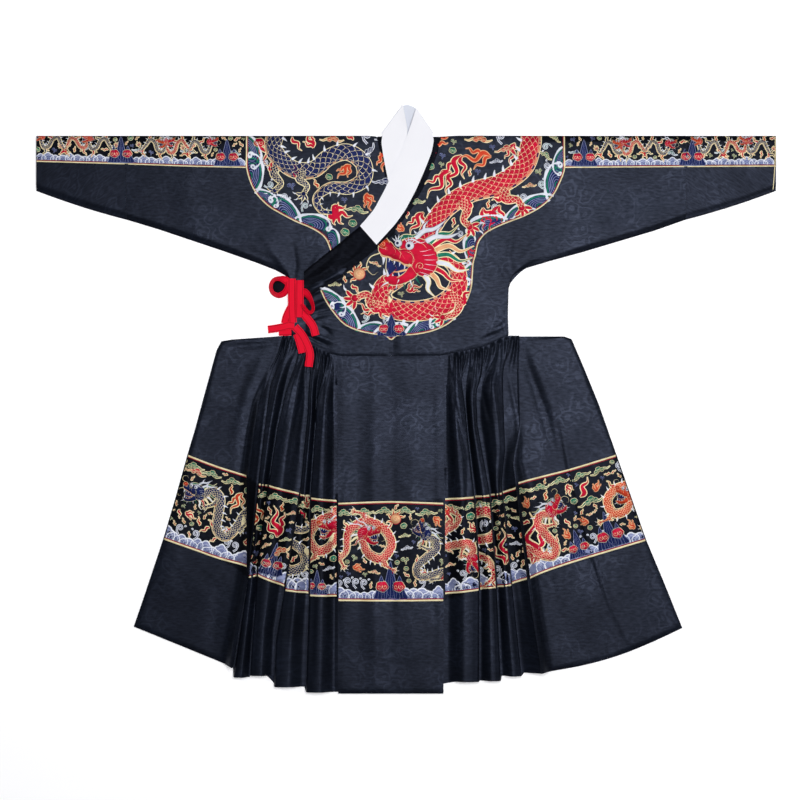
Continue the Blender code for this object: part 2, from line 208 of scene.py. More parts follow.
# %% Damask satin
def damask(name, ground, figure, dark, rough, shine):
    """Satin with a cloud figure woven in. dark is the colour of the bands' ground."""
    material, add, shader = blank(name)
    flat = add("TexCoord").outputs["UV"]
    drift = add("TexNoise", {"Vector": flat, "Scale": 34.0, "Detail": 1.0}).outputs["Color"]
    bent = add("VectorMath", {0: drift, 1: (0.04, 0.04, 0.0), 2: flat}, operation="MULTIPLY_ADD")
    # cloud scrolls: two or three rings round each of a scatter of centres, bent out of true
    cells = add("TexVoronoi", {"Vector": bent, "Scale": 24.0, "Randomness": 0.8}, voronoi_dimensions="2D")
    rings = add("Math", {0: cells.outputs["Distance"], 1: 19.0}, operation="MULTIPLY")
    wave = add("Math", {0: rings}, operation="SINE")
    edge = {"Value": wave, "From Min": 0.1, "From Max": 0.9}
    scroll = add("MapRange", edge, interpolation_type="SMOOTHSTEP")
    # the figure is clear in places and lost in others, as it is on cloth that was smoothed by hand
    wide = add("TexNoise", {"Vector": flat, "Scale": 9.0, "Detail": 3.0})
    clear = add("MapRange", {"Value": wide, "From Min": 0.42, "From Max": 0.62})
    share = add("Math", {0: scroll, 1: clear}, operation="MULTIPLY")
    # weft threads: thin flecks across the cloth, drawn 4 mm high so that they show
    along = add("Mapping", {"Vector": flat, "Scale": (70.0, 240.0, 1.0)})
    weft = add("TexNoise", {"Vector": along, "Scale": 1.0, "Detail": 2.0})
    flecks = add("Math", {0: weft, 1: 0.7, 2: wide}, operation="MULTIPLY_ADD")
    both = add("Math", {0: share, 1: 0.3, 2: flecks}, operation="MULTIPLY_ADD")
    look = add("MapRange", {"Value": both, "From Min": 0.55, "From Max": 1.35})
    cloth = add("Mix", {0: look, 6: tint(ground), 7: tint(figure)}, data_type="RGBA")
    band = add("Attribute", attribute_name="band").outputs["Fac"]
    colour = add("Mix", {0: band, 6: cloth.outputs[2], 7: tint(dark)}, data_type="RGBA")
    gloss = add("MapRange", {
        "Value": both, "From Min": 0.5, "From Max": 1.3, "To Min": rough + 0.05, "To Max": rough - 0.05,
    })
    # the ground of the bands is closely stitched, so it shines less than the satin round it
    sheen = add("MapRange", {"Value": band, "To Min": shine, "To Max": shine * 0.45})
    # threads and figure catch the light unevenly
    grain = add("Math", {0: share, 1: 0.3, 2: weft}, operation="MULTIPLY_ADD")
    uneven = add("MapRange", {
        "Value": grain, "From Min": 0.3, "From Max": 0.9, "To Min": 0.66, "To Max": 1.4,
    })
    glint = add("Math", {0: sheen, 1: uneven}, operation="MULTIPLY")
    bump = add("Bump", {"Height": flecks, "Strength": 0.3, "Distance": 0.0005})
    # the mean shine is set too, for a viewer that can't vary it
    feed(shader, {"Specular IOR Level": shine, "Specular Tint": tint("#BFCCF4")})
    feed(shader, {
        "Base Color": colour.outputs[2], "Roughness": gloss, "Specular IOR Level": glint, "Normal": bump,
    })
    return material


navy_satin = damask("navy_damask_satin", "#06080D", "#11151F", "#07080C", 0.37, 0.182)
collar_satin = damask("black_collar_satin", "#040406", "#08080C", "#040406", 0.42, 0.05)
print("finishes:", navy_satin.name, collar_satin.name)

# %% [markdown]
# The guard is bleached plain-weave cotton, so it is matt, near white and a little uneven. The
# ties are red grosgrain tape: its ribs run across, and a line of stitching holds each edge.

# %% Cotton and tape
def woven_cotton(name):
    """Plain weave. The attribute called shade is 1 inside the neck, where a bluish painted shade is mixed
    into its colour.
    """
    material, add, shader = blank(name)
    flat = add("TexCoord").outputs["UV"]
    # drawn 2 mm from thread to thread so that it shows
    warp, weft = (
        add("TexWave", {"Vector": flat, "Scale": 160.0, "Distortion": 0.6}, bands_direction=way).outputs[1]
        for way in ("X", "Y")
    )
    weave = add("Math", {0: warp, 1: weft}, operation="ADD")
    cloudy = add("TexNoise", {"Vector": flat, "Scale": 9.0, "Detail": 3.0})
    colour = add("Mix", {0: cloudy, 6: tint("#EEEEF5"), 7: tint("#F8F8FC")}, data_type="RGBA")
    # painted shade: the attribute called shade mixes the cotton towards bluish grey inside the neck
    shade = add("Attribute", attribute_name="shade").outputs["Fac"]
    shaded = add("Mix", {0: shade, 6: colour.outputs[2], 7: tint("#DCE0EB")}, data_type="RGBA")
    bump = add("Bump", {"Height": weave, "Strength": 0.2, "Distance": 0.0003})
    feed(shader, {
        "Base Color": shaded.outputs[2], "Normal": bump, "Roughness": 0.85, "Specular IOR Level": 0.3,
    })
    return material


def grosgrain(name):
    """UV runs along the tape in its first value and across it in its second, in metres."""
    material, add, shader = blank(name)
    flat = add("TexCoord").outputs["UV"]
    across = add("SeparateXYZ", {0: flat}).outputs[1]
    ribs = add("TexWave", {"Vector": flat, "Scale": 140.0, "Distortion": 1.0}, bands_direction="X").outputs[1]
    # a line of stitching 6.4 mm from the middle, on either side of it
    from_middle = add("Math", {0: across}, operation="ABSOLUTE")
    off_seam = add("Math", {0: from_middle, 1: 0.0064}, operation="SUBTRACT")
    near_seam = add("Math", {0: off_seam}, operation="ABSOLUTE")
    seam = add("MapRange", {
        "Value": near_seam, "From Min": 0.0003, "From Max": 0.0012, "To Min": 0.75, "To Max": 0.0,
    })
    dull = add("Math", {0: ribs, 1: 0.22, 2: seam}, operation="MULTIPLY_ADD")
    colour = add("Mix", {0: dull, 6: tint("#EC0C30"), 7: tint("#94071A")}, data_type="RGBA")
    bump = add("Bump", {"Height": ribs, "Strength": 0.35, "Distance": 0.0004})
    feed(shader, {
        "Base Color": colour.outputs[2], "Normal": bump, "Roughness": 0.7, "Specular IOR Level": 0.1,
    })
    return material


white_cotton = woven_cotton("bleached_plain_cotton")
red_tape = grosgrain("red_grosgrain_tape")
print("finishes:", white_cotton.name, red_tape.name)

# %% [markdown]
# ## Where the embroidery lies
# The blacker ground of the bands is part of the cloth itself, so every piece has to know where it
# starts. The border of the cloud collar and of each band is typed in once, and used again when
# the motifs are sewn on.

# %% Where the embroidery lies
COLLAR_BORDER_LEFT = [
    (-367, 606), (-367, 560), (-367, 533), (-357, 497), (-342, 470), (-316, 444), (-290, 428), (-254, 409),
    (-225, 397), (-201, 384), (-184, 368), (-172, 340),
]
COLLAR_BORDER_RIGHT = [
    (-196, 250), (-185, 227), (-168, 201), (-144, 174), (-114, 159), (-76, 150), (-50, 147), (-34, 137),
    (-20, 146), (21, 149), (60, 157), (94, 172), (118, 193), (137, 222), (149, 254), (152, 283), (154, 312),
    (159, 331), (166, 360), (181, 380), (200, 392), (229, 405), (273, 422), (311, 443), (336, 467),
    (350, 491), (364, 528), (364, 570), (364, 606),
]
SLEEVE_BAND = [
    (-850, 547), (-644, 541), (-500, 536), (-369, 533), (366, 533), (500, 534), (644, 535), (850, 536),
]
# The knee band's top and low edge on each part of the skirt
KNEE = {
    "fin_left": (
        [(-506, -129), (-435, -156), (-361, -179)], [(-562, -320), (-486, -347), (-429, -367), (-360, -385)],
    ),
    "left_0": ([(-341, -196), (-316, -199)], [(-363, -409), (-338, -405)]),
    "left_1": ([(-318, -199), (-246, -218)], [(-342, -405), (-270, -434)]),
    "left_2": ([(-246, -220), (-219, -223)], [(-277, -439), (-222, -446)]),
    "left_3": ([(-221, -228), (-157, -235)], [(-224, -451), (-157, -453)]),
    "panel": ([(-160, -241), (-36, -237), (90, -241)], [(-160, -463), (-36, -464), (90, -463)]),
    "right_2": ([(86, -231), (156, -226)], [(86, -448), (168, -438)]),
    "right_1": ([(154, -225), (192, -222)], [(165, -436), (208, -432)]),
    "right_0": ([(190, -221), (222, -217)], [(204, -432), (242, -427)]),
    "right_3": ([(222, -215), (266, -200)], [(243, -424), (282, -411)]),
    "fin_right": (
        [(247, -196), (316, -178), (386, -160), (487, -129)],
        [(280, -412), (341, -389), (409, -367), (557, -323)],
    ),
}
# The sleeve bands start at this x, cloth below this height is out of sight, and the chest has
# this much of the blacker ground
SLEEVE_BAND_START = 366
HIDDEN_BELOW = 2.0
CHEST_GROUND = 0.35


def inside(x, y, outline):
    """Whether points of the page lie inside a closed outline."""
    found = np.zeros(np.shape(x), bool)
    for (ax, ay), (bx, by) in zip(outline, outline[1:] + outline[:1]):
        if ay != by:
            found ^= ((ay > y) != (by > y)) & (x < (bx - ax) * (y - ay) / (by - ay) + ax)
    return found


def band_on(x, y, z):
    """How much of the closely stitched black ground lies at each point. The back has none."""
    top, low = (sorted(point for edges in KNEE.values() for point in edges[k]) for k in (0, 1))
    on_knee = (y < np.interp(x, *zip(*top))) & (y > np.interp(x, *zip(*low)))
    on_sleeve = (np.abs(x) > SLEEVE_BAND_START) & (y > np.interp(x, *zip(*SLEEVE_BAND)))
    on_chest = inside(x, y, COLLAR_BORDER_LEFT + COLLAR_BORDER_RIGHT)
    return np.maximum(1.0 * (on_knee | on_sleeve), CHEST_GROUND * on_chest) * (z > HIDDEN_BELOW)


print("the knee band crosses", len(KNEE), "parts of the skirt")

# %% [markdown]
# ## How a panel is laid
# A cut panel is a flat piece of cloth with soft creases in it. So each one starts as a grid
# primitive with a point every few millimetres. Its points are moved to the panel's place, its
# creases are pressed in from short tables, and Solidify gives the cloth its thickness.
# A cloth simulation would move the folds away from where the photograph shows them.

# %% Sheets of cloth
# Every sheet that is laid, under the name of the solid that it dresses
CLOTHS = {}


def sheet(name, points, look, wall, grow=-1, flat=None, closed=False, turned=False):
    """A grid primitive moved to points[row, column] in mm. grow is -1 for a wall below them.
    The first word of its name is its kind of cloth, and the rest is the solid that it dresses."""
    flat = points[..., :2] if flat is None else flat
    if turned:
        points, flat = points[:, ::-1], flat[:, ::-1]
    rows, columns = points.shape[:2]
    bpy.ops.object.select_all(action="DESELECT")
    bpy.ops.mesh.primitive_grid_add(x_subdivisions=columns - 1, y_subdivisions=rows - 1, size=2)
    piece = bpy.context.object
    piece.name = name
    mesh = piece.data
    where = np.empty(len(mesh.vertices) * 3, np.float32)
    mesh.vertices.foreach_get("co", where)
    where = where.reshape(-1, 3)
    column = np.rint((where[:, 0] + 1) / 2 * (columns - 1)).astype(int)
    row = np.rint((where[:, 1] + 1) / 2 * (rows - 1)).astype(int)
    placed = points[row, column]
    mesh.vertices.foreach_set("co", (placed * MM).ravel())
    corner = np.empty(len(mesh.loops), np.int32)
    mesh.loops.foreach_get("vertex_index", corner)
    mesh.uv_layers[0].data.foreach_set("uv", (flat[row, column][corner] * MM).ravel())
    band = mesh.attributes.new("band", "FLOAT", "POINT")
    band.data.foreach_set("value", band_on(*placed.T).astype(np.float32))
    if closed:
        bpy.ops.object.mode_set(mode="EDIT")
        bpy.ops.mesh.select_all(action="SELECT")
        bpy.ops.mesh.remove_doubles(threshold=1e-6)
        bpy.ops.object.mode_set(mode="OBJECT")
    mesh.materials.append(look)
    thick = piece.modifiers.new("cloth", "SOLIDIFY")
    thick.thickness = wall * MM
    thick.offset = grow
    bpy.ops.object.modifier_apply(modifier="cloth")
    bpy.ops.object.shade_smooth_by_angle(angle=math.radians(50))
    CLOTHS[name.partition("_")[2]] = piece
    print(name, len(piece.data.polygons) * 2, "triangles")


print("finishes to lay:", navy_satin.name, collar_satin.name, white_cotton.name, red_tape.name)


# %% Creases
def creased(x, y, table):
    """Adds up soft ridges and troughs. Each row of the table is a line, a width and a lift."""
    total = np.zeros(np.shape(x))
    for line, width, lift in table:
        near = np.full(np.shape(x), 1e9)
        along = np.zeros(np.shape(x))
        before = 0.0
        for (ax, ay), (bx, by) in zip(line, line[1:]):
            size = math.hypot(bx - ax, by - ay)
            share = np.clip(((x - ax) * (bx - ax) + (y - ay) * (by - ay)) / size**2, 0, 1)
            far = np.hypot(x - ax - share * (bx - ax), y - ay - share * (by - ay))
            along = np.where(far < near, before + share * size, along)
            near = np.minimum(near, far)
            before += size
        faded = np.sin(math.pi * np.clip(along / before, 0.03, 0.97)) ** 0.6
        total += lift * faded * np.exp(-((near / width) ** 2))
    return total


def drift(x, y, size):
    """The slow unevenness of cloth that was smoothed by hand, up to about size mm."""
    return size * (
        0.5 * np.sin(x / 47 + 1.3 * np.sin(y / 83)) * np.sin(y / 61 + 0.7)
        + 0.3 * np.sin(x / 23 - y / 71 + 2.1)
        + 0.2 * np.sin(x / 97 + y / 31)
        + 0.22 * np.sin(x / 13 + 2.0 * np.sin(y / 37 + x / 59)) * np.sin(y / 19 + 1.4 * np.sin(x / 43))
    )


crease = [([(-9, 0), (9, 0)], 5, 2)]
print("a crease of 2 mm lifts its middle by", round(float(creased(0, 0, crease)), 2), "mm")


# %% Panels between two edges
def stations(table, step):
    """The rows of a table, drawn about step mm apart. A row is low x, y, top x, y."""
    rows = np.array([(a, waist(a) + GAP if b is None else b, c, d) for a, b, c, d in table], float)
    steps = np.diff(rows, axis=0)
    reach = np.maximum(np.hypot(steps[:, 0], steps[:, 1]), np.hypot(steps[:, 2], steps[:, 3]))
    way = np.concatenate([[0], np.cumsum(reach)])
    places = np.linspace(0, way[-1], int(way[-1] / step) + 2)
    fine = np.column_stack([np.interp(places, way, column) for column in rows.T])
    soft = fine.copy()
    soft[1:-1] = 0.25 * fine[:-2] + 0.5 * fine[1:-1] + 0.25 * fine[2:]
    return soft


def panel(name, table, height, step=5.0, across=90, sag=0.0, look=navy_satin):
    """A sheet between its low and top edges. height gives its upper side from x, y and how far
    each point is from the low edge, the top edge and the nearer end. sag bows out its last end."""
    ends = stations(table, step)
    low, top = ends[:, None, :2], ends[:, None, 2:]
    share = np.linspace(0, 1, across + 1)
    page = low * (1 - share[:, None]) + top * share[:, None]
    length = np.hypot(*(top - low)[:, 0].T)[:, None]
    way = lengths((low + top)[:, 0] / 2)[:, None]
    edges = (length * share, length * (1 - share), np.minimum(way, way[-1] - way) + 0 * share)
    page[..., 1] -= sag * np.sin(math.pi * share) * ease(1 - (way[-1] - way) / 250)
    z = height(page[..., 0], page[..., 1], *edges)
    points = np.concatenate([page, z[..., None]], axis=2)
    turn = np.cross(points[1, 1, :2] - points[1, 0, :2], points[2, 0, :2] - points[1, 0, :2])
    sheet(name, points, look, CLOTH, turned=turn < 0)


print("a panel gets a point every 3 to 12 mm")


# %% [markdown]
# ## The fronts
# The wearer's left front laps over the right one and crosses the chest to the ties. The satin
# rises a little between its seams, rolls down over the fold at the shoulder, and is drawn into
# small creases where the ties pull at it.

# %% Tables of the fronts
UNDER_FRONT = [
    (-SLEEVE_SEAM, 413, -SLEEVE_SEAM, SHOULDER), (-571, 391, -571, SHOULDER),
    (-419, 340, -430, SHOULDER), (-348, 315, -370, SHOULDER), (-301, 297, -320, SHOULDER),
    (-272, 281, -280, SHOULDER), (SIDE_LEFT, 262, -245, SHOULDER),
    (SIDE_LEFT, None, -160, SHOULDER), (-262, None, -140, SHOULDER), (-219, None, -110, SHOULDER),
    (-195, None, -85, SHOULDER), (-174, None, -66, SHOULDER - 2), (-150, None, -60, 585),
    (-60, None, -50, 560), (20, None, -20, 480), (80, None, 50, 370), (119, None, 110, 290),
    (150, None, 150, 235),
]
OVER_FRONT = [
    (FRONT_SEAM + GAP, None, FRONT_SEAM + GAP, 430), (40, None, 0, 482), (80, None, 30, 540),
    (119, None, 50, 575), (155, None, 72, SHOULDER - 3), (186, None, 120, SHOULDER),
    (207, None, 145, SHOULDER), (234, None, 165, SHOULDER), (SIDE_RIGHT, None, 180, SHOULDER),
    (SIDE_RIGHT - 2, 207, 210, SHOULDER), (SIDE_RIGHT, 258, 245, SHOULDER),
    (246, 285, 275, SHOULDER), (272, 300, 300, SHOULDER), (329, 317, 350, SHOULDER),
    (409, 339, 420, SHOULDER), (570, 387, 575, SHOULDER), (SLEEVE_SEAM, 413, SLEEVE_SEAM, SHOULDER),
]
OVERLAP = [
    (LAPEL_SIDE, None, LAPEL_SIDE, 258), (-219, None, -200, 286), (-195, None, -175, 304),
    (-174, None, -150, 322), (-150, None, -125, 340), (-110, None, -95, 364),
    (FRONT_SEAM, None, FRONT_SEAM, 430),
]
# Creases: the line of each, its width and its lift, troughs below zero
FRONT_CREASES = [
    ([(-236, 172), (-205, 190), (-172, 196)], 5, -2.2),
    ([(-236, 205), (-206, 216), (-150, 240)], 6, 2.4),
    ([(-234, 190), (-200, 203), (-160, 212)], 5, -2.0),
    ([(-236, 232), (-214, 243), (-176, 262)], 5, -2.2),
    ([(-232, 246), (-190, 268), (-140, 300)], 6, 2.6),
    ([(-210, 262), (-165, 272), (-120, 286)], 5, -2.4),
    ([(-236, 150), (-205, 134), (-176, 121)], 4.5, -2.6),
    ([(-234, 160), (-206, 146), (-160, 128)], 5, 2.2),
    ([(-232, 134), (-205, 121), (-170, 107)], 4, -2.2),
    ([(-228, 172), (-190, 168), (-150, 160)], 6, 1.8),
    ([(-215, 178), (-185, 160), (-168, 140)], 5, -1.6),
    ([(-60, 128), (10, 124), (70, 126)], 9, 1.0),
    ([(232, 158), (205, 148), (168, 133)], 4.5, -2.2),
    ([(234, 176), (206, 160), (176, 150)], 5, 1.8),
    ([(233, 200), (214, 176), (200, 158)], 5, -1.5),
    ([(238, 268), (220, 300), (196, 345)], 9, 1.4),
    ([(244, 282), (236, 330), (244, 380)], 8, -1.2),
    ([(250, 290), (285, 345), (330, 392)], 10, 1.2),
    ([(270, 302), (330, 336), (400, 366)], 9, -1.1),
    ([(-262, 276), (-292, 322), (-330, 372)], 9, 1.3),
    ([(-268, 290), (-318, 322), (-380, 350)], 8, -1.2),
    ([(-262, 262), (-254, 310), (-262, 365)], 7, -1.4),
    ([(-240, 262), (-214, 300), (-190, 345)], 8, 1.4),
    ([(470, 400), (500, 470), (505, 540)], 26, 0.9),
    ([(-480, 400), (-505, 470), (-500, 540)], 26, 0.9),
    ([(-150, 420), (-180, 480), (-178, 560)], 18, 1.0),
    ([(95, 440), (120, 500), (118, 570)], 16, 1.0),
]
print("creases in the fronts:", len(FRONT_CREASES))


# %% Lay the fronts
PUFF = 3.4
LEAST_PUFF = 0.5
DRIFT = 0.6


def rise(x, low, top, ends):
    """The puff between a panel's edges, and the roll of cloth close to them."""
    sleeve = ease((np.abs(x) - 240) / 60)
    near = np.minimum(low / (0.24 + 0.76 * sleeve), top)
    up = (1 - sleeve) * 0.5 + (0.5 + 0.5 * sleeve) * ease(near / 17)
    puff = PUFF * (0.6 + 0.4 * sleeve) * up * ease((ends + 19 * sleeve) / 20)
    return puff - (0.4 + 0.6 * sleeve) * (1 - ease(near / 4.0)) ** 2


def over_level(x):
    """The over front lies on the under one, and comes down to its level beyond the chest."""
    return OVER_Z - (OVER_Z - UNDER_Z) * ease((x - 160) / 60)


def front_height(level):
    """The height of a front that lies at this level, which may change with x."""
    def height(x, y, low, top, ends):
        base = level(x) if callable(level) else level
        soft = rise(x, low, top, ends) + drift(x, y, DRIFT) * ease(np.minimum(low, top) / 20)
        folds = creased(x, y, FRONT_CREASES) * ease((np.minimum(low, ends + 6) + 2) / 8)
        return np.maximum(base + CLOTH + soft + folds, base + LEAST_PUFF)
    return height


panel("satin_front_right", UNDER_FRONT, front_height(UNDER_Z), 5.5, 84)
panel("satin_front_left", OVER_FRONT, front_height(over_level), 5.0, 92)
panel("satin_front_overlap", OVERLAP, front_height(OVER_Z), 3.5, 66)

# %% [markdown]
# ## The outer sleeves
# Satin was woven too narrow for the whole arm, so a second width is sewn on at x = 644. It is a
# tube laid flat: two layers with a fold along the top and a seam along the bottom.

# %% Lay the sleeves
SLEEVE_SEAM_LOW = 413
SLEEVE_PUFF = 2.9


def sleeve(name, side):
    """A flattened tube from the seam to the cuff. side is 1 on the right of the page."""
    start, end = SLEEVE_SEAM + GAP, CUFF_X
    floor, lift = BACK_Z + CLOTH / 2, UNDER_Z + CLOTH / 2 + 0.9
    turn = (lift - floor) / 2
    rows = []
    flat = []
    for x in np.linspace(start, end, 48):
        share = (x - start) / (end - start)
        y_low = SLEEVE_SEAM_LOW + (CUFF_LOW - SLEEVE_SEAM_LOW) * (0.8 * share + 0.2 * share**2)
        section = []
        for first, last, centre in (
            (90, 270, y_low + turn + CLOTH / 2), (-90, 90, SHOULDER - turn - CLOTH / 2),
        ):
            for a in map(math.radians, np.linspace(first, last, 9)):
                section.append((centre + turn * math.cos(a), floor + turn + turn * math.sin(a)))
        seam_y, fold_y = section[0][0], section[-1][0]
        for k in np.linspace(0, 1, 46)[1:-1]:
            y = fold_y + (seam_y - fold_y) * k
            top = SLEEVE_PUFF * ease((y - seam_y) / 17) * ease((fold_y - y) / 12)
            top += float(drift(side * x, y, DRIFT)) * math.sin(math.pi * k)
            section.append((y, lift + top))
        section.append(section[0])
        rows.append([(side * x, y, z) for y, z in section])
        flat.append([(side * x, s) for s in y_low - lengths(np.array(section))])
    sheet(name, np.array(rows)[::side], navy_satin, CLOTH, grow=0, flat=np.array(flat)[::side], closed=True)


sleeve("satin_sleeve_left", -1)
sleeve("satin_sleeve_right", 1)

# %% [markdown]
# ## The skirt
# The skirt has a plain middle panel. On each side of it the cloth is laid in deep knife pleats,
# gathered small under the waist seam, and beyond them it runs out into a flat fin. The pleats
# are one sheet whose section is worked out at every level from waist to hem: under a strip,
# back out, round its edge and over its face down to the next.

# %% Tables of the skirt
FIN_LEFT_EDGE = [
    (-400, 137), (-425, 133), (-436, 113), (-461, 22), (-486, -70), (-503, -127),
    (-530, -224), (-558, -319), (-601, -448), (-627, -524),
]
FIN_RIGHT_EDGE = [
    (364, 144), (381, 138), (409, 73), (444, -13), (484, -127), (518, -224), (552, -322),
    (597, -430), (636, -527),
]
LEFT_FOLDS = [
    [
        (-284, 145), (-295, 104), (-313, 71), (-343, -17), (-356, -117), (-363, -178), (-362, -385),
        (-401, -617),
    ],
    [
        (-270, 145), (-295, 85), (-311, 35), (-325, -70), (-339, -193), (-357, -361), (-365, -431),
        (-396, -640),
    ],
    [
        (-246, 144), (-262, 80), (-276, 25), (-295, -61), (-316, -197), (-339, -371), (-353, -565),
        (-357, -636),
    ],
    [(-217, 123), (-221, 71), (-226, -35), (-244, -218), (-273, -402), (-298, -555), (-302, -662)],
    [(-195, 112), (-204, 71), (-207, -52), (-219, -218), (-222, -451), (-229, -674)],
]
RIGHT_FOLDS = [
    [(261, 144), (257, 60), (261, -60), (249, -150), (267, -300), (291, -489), (313, -630)],
    [(234, 143), (221, 60), (227, -117), (219, -197), (230, -300), (240, -402), (265, -637)],
    [(182, 121), (160, 20), (164, -61), (192, -218), (206, -402), (217, -648)],
    [(134, 109), (128, 60), (142, -94), (156, -218), (168, -402), (167, -650)],
]
# For each strip: how far it is tucked in, as a share of its width, and its crest in mm
LEFT_STRIPS = [(0.32, 3.0), (0.34, 5.5), (0.30, 4.5), (0.30, 6.0)]
RIGHT_STRIPS = [(0.30, 6.5), (0.32, 4.5), (0.30, 6.0)]
PLEAT_MIDDLE = UNDER_Z + PLEAT_CLOTH / 2
INNER_TURN = 1.6
OUTER_TURN = 4.6
PANEL_TUCK = 14.0
HIDDEN_BEND = 8.0
GATHERED = 0.175
GATHERS = 13
GATHER_LIFT = 8.0
FIN_GAP = 0.8
FIN_LAP = 5.0
VALLEY_WALL = 17.0
VALLEY_TOP = {1: 100.0, -1: -20.0}
# Soft grooves and ridges that run down the faces of the pleats
PLEAT_CREASES = [
    ([(102, 60), (110, 0), (125, -70), (138, -130), (141, -300)], 5, -2.6),
    ([(96, 50), (104, -20), (112, -90), (118, -200)], 6, 1.6),
    ([(150, 100), (165, 60), (178, 10), (193, -50), (206, -150)], 5, -2.8),
    ([(176, 105), (196, 40), (210, -40), (222, -140)], 6, 1.8),
    ([(236, 110), (252, 50), (268, -30), (284, -130), (300, -240)], 6, -2.8),
    ([(226, 100), (240, 40), (256, -40), (262, -130)], 6, 1.6),
    ([(206, 112), (212, 40), (222, -60)], 5, -2.0),
    ([(-170, 60), (-167, 0), (-160, -90)], 5, -2.6),
    ([(-186, 90), (-186, 10), (-196, -110), (-204, -250)], 6, 1.6),
    ([(-232, 90), (-240, 20), (-262, -90), (-282, -220)], 6, -2.4),
    ([(-252, 100), (-262, 30), (-280, -60)], 5, 1.8),
    ([(-280, 110), (-298, 50), (-316, -20), (-332, -110)], 6, -2.2),
    ([(-262, -60), (-252, -150), (-262, -260)], 8, 1.6),
    ([(-240, -330), (-254, -450), (-266, -600)], 7, 1.5),
    ([(-182, -300), (-180, -450), (-186, -620)], 8, 1.5),
    ([(-208, -380), (-212, -500), (-216, -640)], 5, -1.6),
    ([(118, -300), (116, -450), (118, -600)], 7, 1.6),
    ([(246, -250), (262, -400), (284, -560)], 8, -3.0),
]
FIN_CREASES = [
    ([(-415, 118), (-350, 124), (-290, 128)], 7, -1.6),
    ([(-300, 118), (-330, 40), (-360, -60), (-380, -200)], 12, -3.0),
    ([(-320, 112), (-362, 20), (-396, -100)], 14, 1.8),
    ([(-470, -60), (-430, -30), (-395, -20)], 12, -1.2),
    ([(-500, -150), (-520, -300), (-560, -470)], 24, 1.2),
    ([(-430, -420), (-440, -520), (-450, -590)], 16, -1.0),
    ([(352, -30), (375, -160), (420, -330), (468, -470), (524, -580)], 6, 1.6),
    ([(344, -30), (366, -160), (410, -330), (458, -470), (512, -580)], 5, -1.4),
    ([(262, 130), (285, 60), (320, -40), (352, -160)], 12, -3.2),
    ([(285, 120), (318, 40), (360, -70)], 14, 1.8),
    ([(262, -120), (290, -200), (312, -330), (352, -500)], 12, -2.0),
    ([(310, -120), (330, -220), (372, -400)], 12, 1.6),
    ([(392, 110), (420, 20), (452, -80)], 16, 1.0),
]
PANEL_CREASES = [
    ([(-73, 90), (-74, -200), (-72, -670)], 14, 2.2),
    ([(-112, 60), (-110, -300), (-108, -660)], 14, -1.2),
    ([(-34, 40), (-32, -200), (-36, -660)], 12, -1.6),
    ([(14, 80), (16, -120), (12, -640)], 20, 1.8),
    ([(60, 60), (64, -300), (66, -660)], 9, -1.4),
]
print("strips:", len(LEFT_STRIPS), "on the left and", len(RIGHT_STRIPS), "on the right")


# %% Lay the fins and the middle panel
def line_at(line, share):
    """The point of a fold line at this share of its way from waist to hem."""
    x, y = np.array(line, float).T
    level = y[0] + (y[-1] - y[0]) * share
    return np.interp(-level, -y, x), level


def valley_wall(y, start):
    """1 where a fin's inner edge stands up beside a deep valley, from the level start down."""
    return ease((start - y) / 190)


def valley_height(y, level=VALLEY_WALL):
    """How high that edge stands. It is highest near the hem."""
    return level + 7 * ease((-420 - y) / 160)


def fin_rows(edge, fold, side):
    """Rows of a fin from its fold line to its free edge. side is 0 for the layer behind."""
    edge = np.array(edge, float)
    rows = []
    for share in np.linspace(0, 1, 150):
        free = [np.interp(share * (len(edge) - 1), range(len(edge)), column) for column in edge.T]
        x, y = line_at(fold, share)
        lap = 0
        if side:
            lap = FIN_GAP + FIN_LAP * (1 - 0.5 * valley_wall(y, VALLEY_TOP[side]))
            lap *= ease((140 - y) / 30)
        rows.append((x - side * (FIN_GAP - lap), y, *free))
    return rows


def fin_height(start):
    """The height of a fin whose inner edge stands up from the level start down."""
    def height(x, y, low, top, ends):
        soft = 1.5 * ease(top / 9) * ease(ends / 9) - 0.6 * (1 - ease(top / 4)) ** 2
        folds = creased(x, y, FIN_CREASES) + drift(x, y, 0.7)
        folds = folds * ease(top / 14) * ease(ends / 12) * ease(low / 8)
        deep = valley_wall(y, start)
        wall = valley_height(y) * deep * np.exp(-((low / 15) ** 2))
        wall = wall - 2.0 * (1 - deep) * (1 - ease(low / 8)) * ease((130 - y) / 20)
        level = UNDER_Z + CLOTH
        return np.maximum(level + soft * ease((low + 4) / 12) + folds, level - 0.9) + wall
    return height


left_rows = fin_rows(FIN_LEFT_EDGE, LEFT_FOLDS[0], 1)
right_rows = fin_rows(FIN_RIGHT_EDGE, RIGHT_FOLDS[0], -1)
panel("satin_fin_left", left_rows, fin_height(VALLEY_TOP[1]), 5.0, 44)
panel("satin_fin_right", right_rows, fin_height(VALLEY_TOP[-1]), 5.0, 56, sag=17.0)
MIDDLE = [
    (PANEL_LEFT + 2, HEM_LOW, PANEL_LEFT, waist(PANEL_LEFT) - GAP),
    (PANEL_LEFT + 8, HEM_LOW, PANEL_LEFT + 8, waist(PANEL_LEFT + 8) - GAP),
    (-36, HEM_LOW, -36, waist(-36) - GAP),
    (PANEL_RIGHT - 8, HEM_LOW, PANEL_RIGHT - 8, waist(PANEL_RIGHT - 8) - GAP),
    (PANEL_RIGHT - 2, HEM_LOW, PANEL_RIGHT, waist(PANEL_RIGHT - 8) - GAP),
]


def middle_height(x, y, low, top, ends):
    """The height of the middle panel, which is a little lower along its edges."""
    near = np.minimum(low, top) + 3
    soft = 1.4 * (0.5 + 0.5 * ease(ends / 14)) * ease(near / 14)
    folds = 0.75 * creased(x, y, PANEL_CREASES) + drift(x, y, 0.8)
    return OVER_Z + CLOTH + soft + folds * ease(ends / 10) * ease(near / 12)


panel("satin_skirt_panel", MIDDLE, middle_height, 5.0, 150)


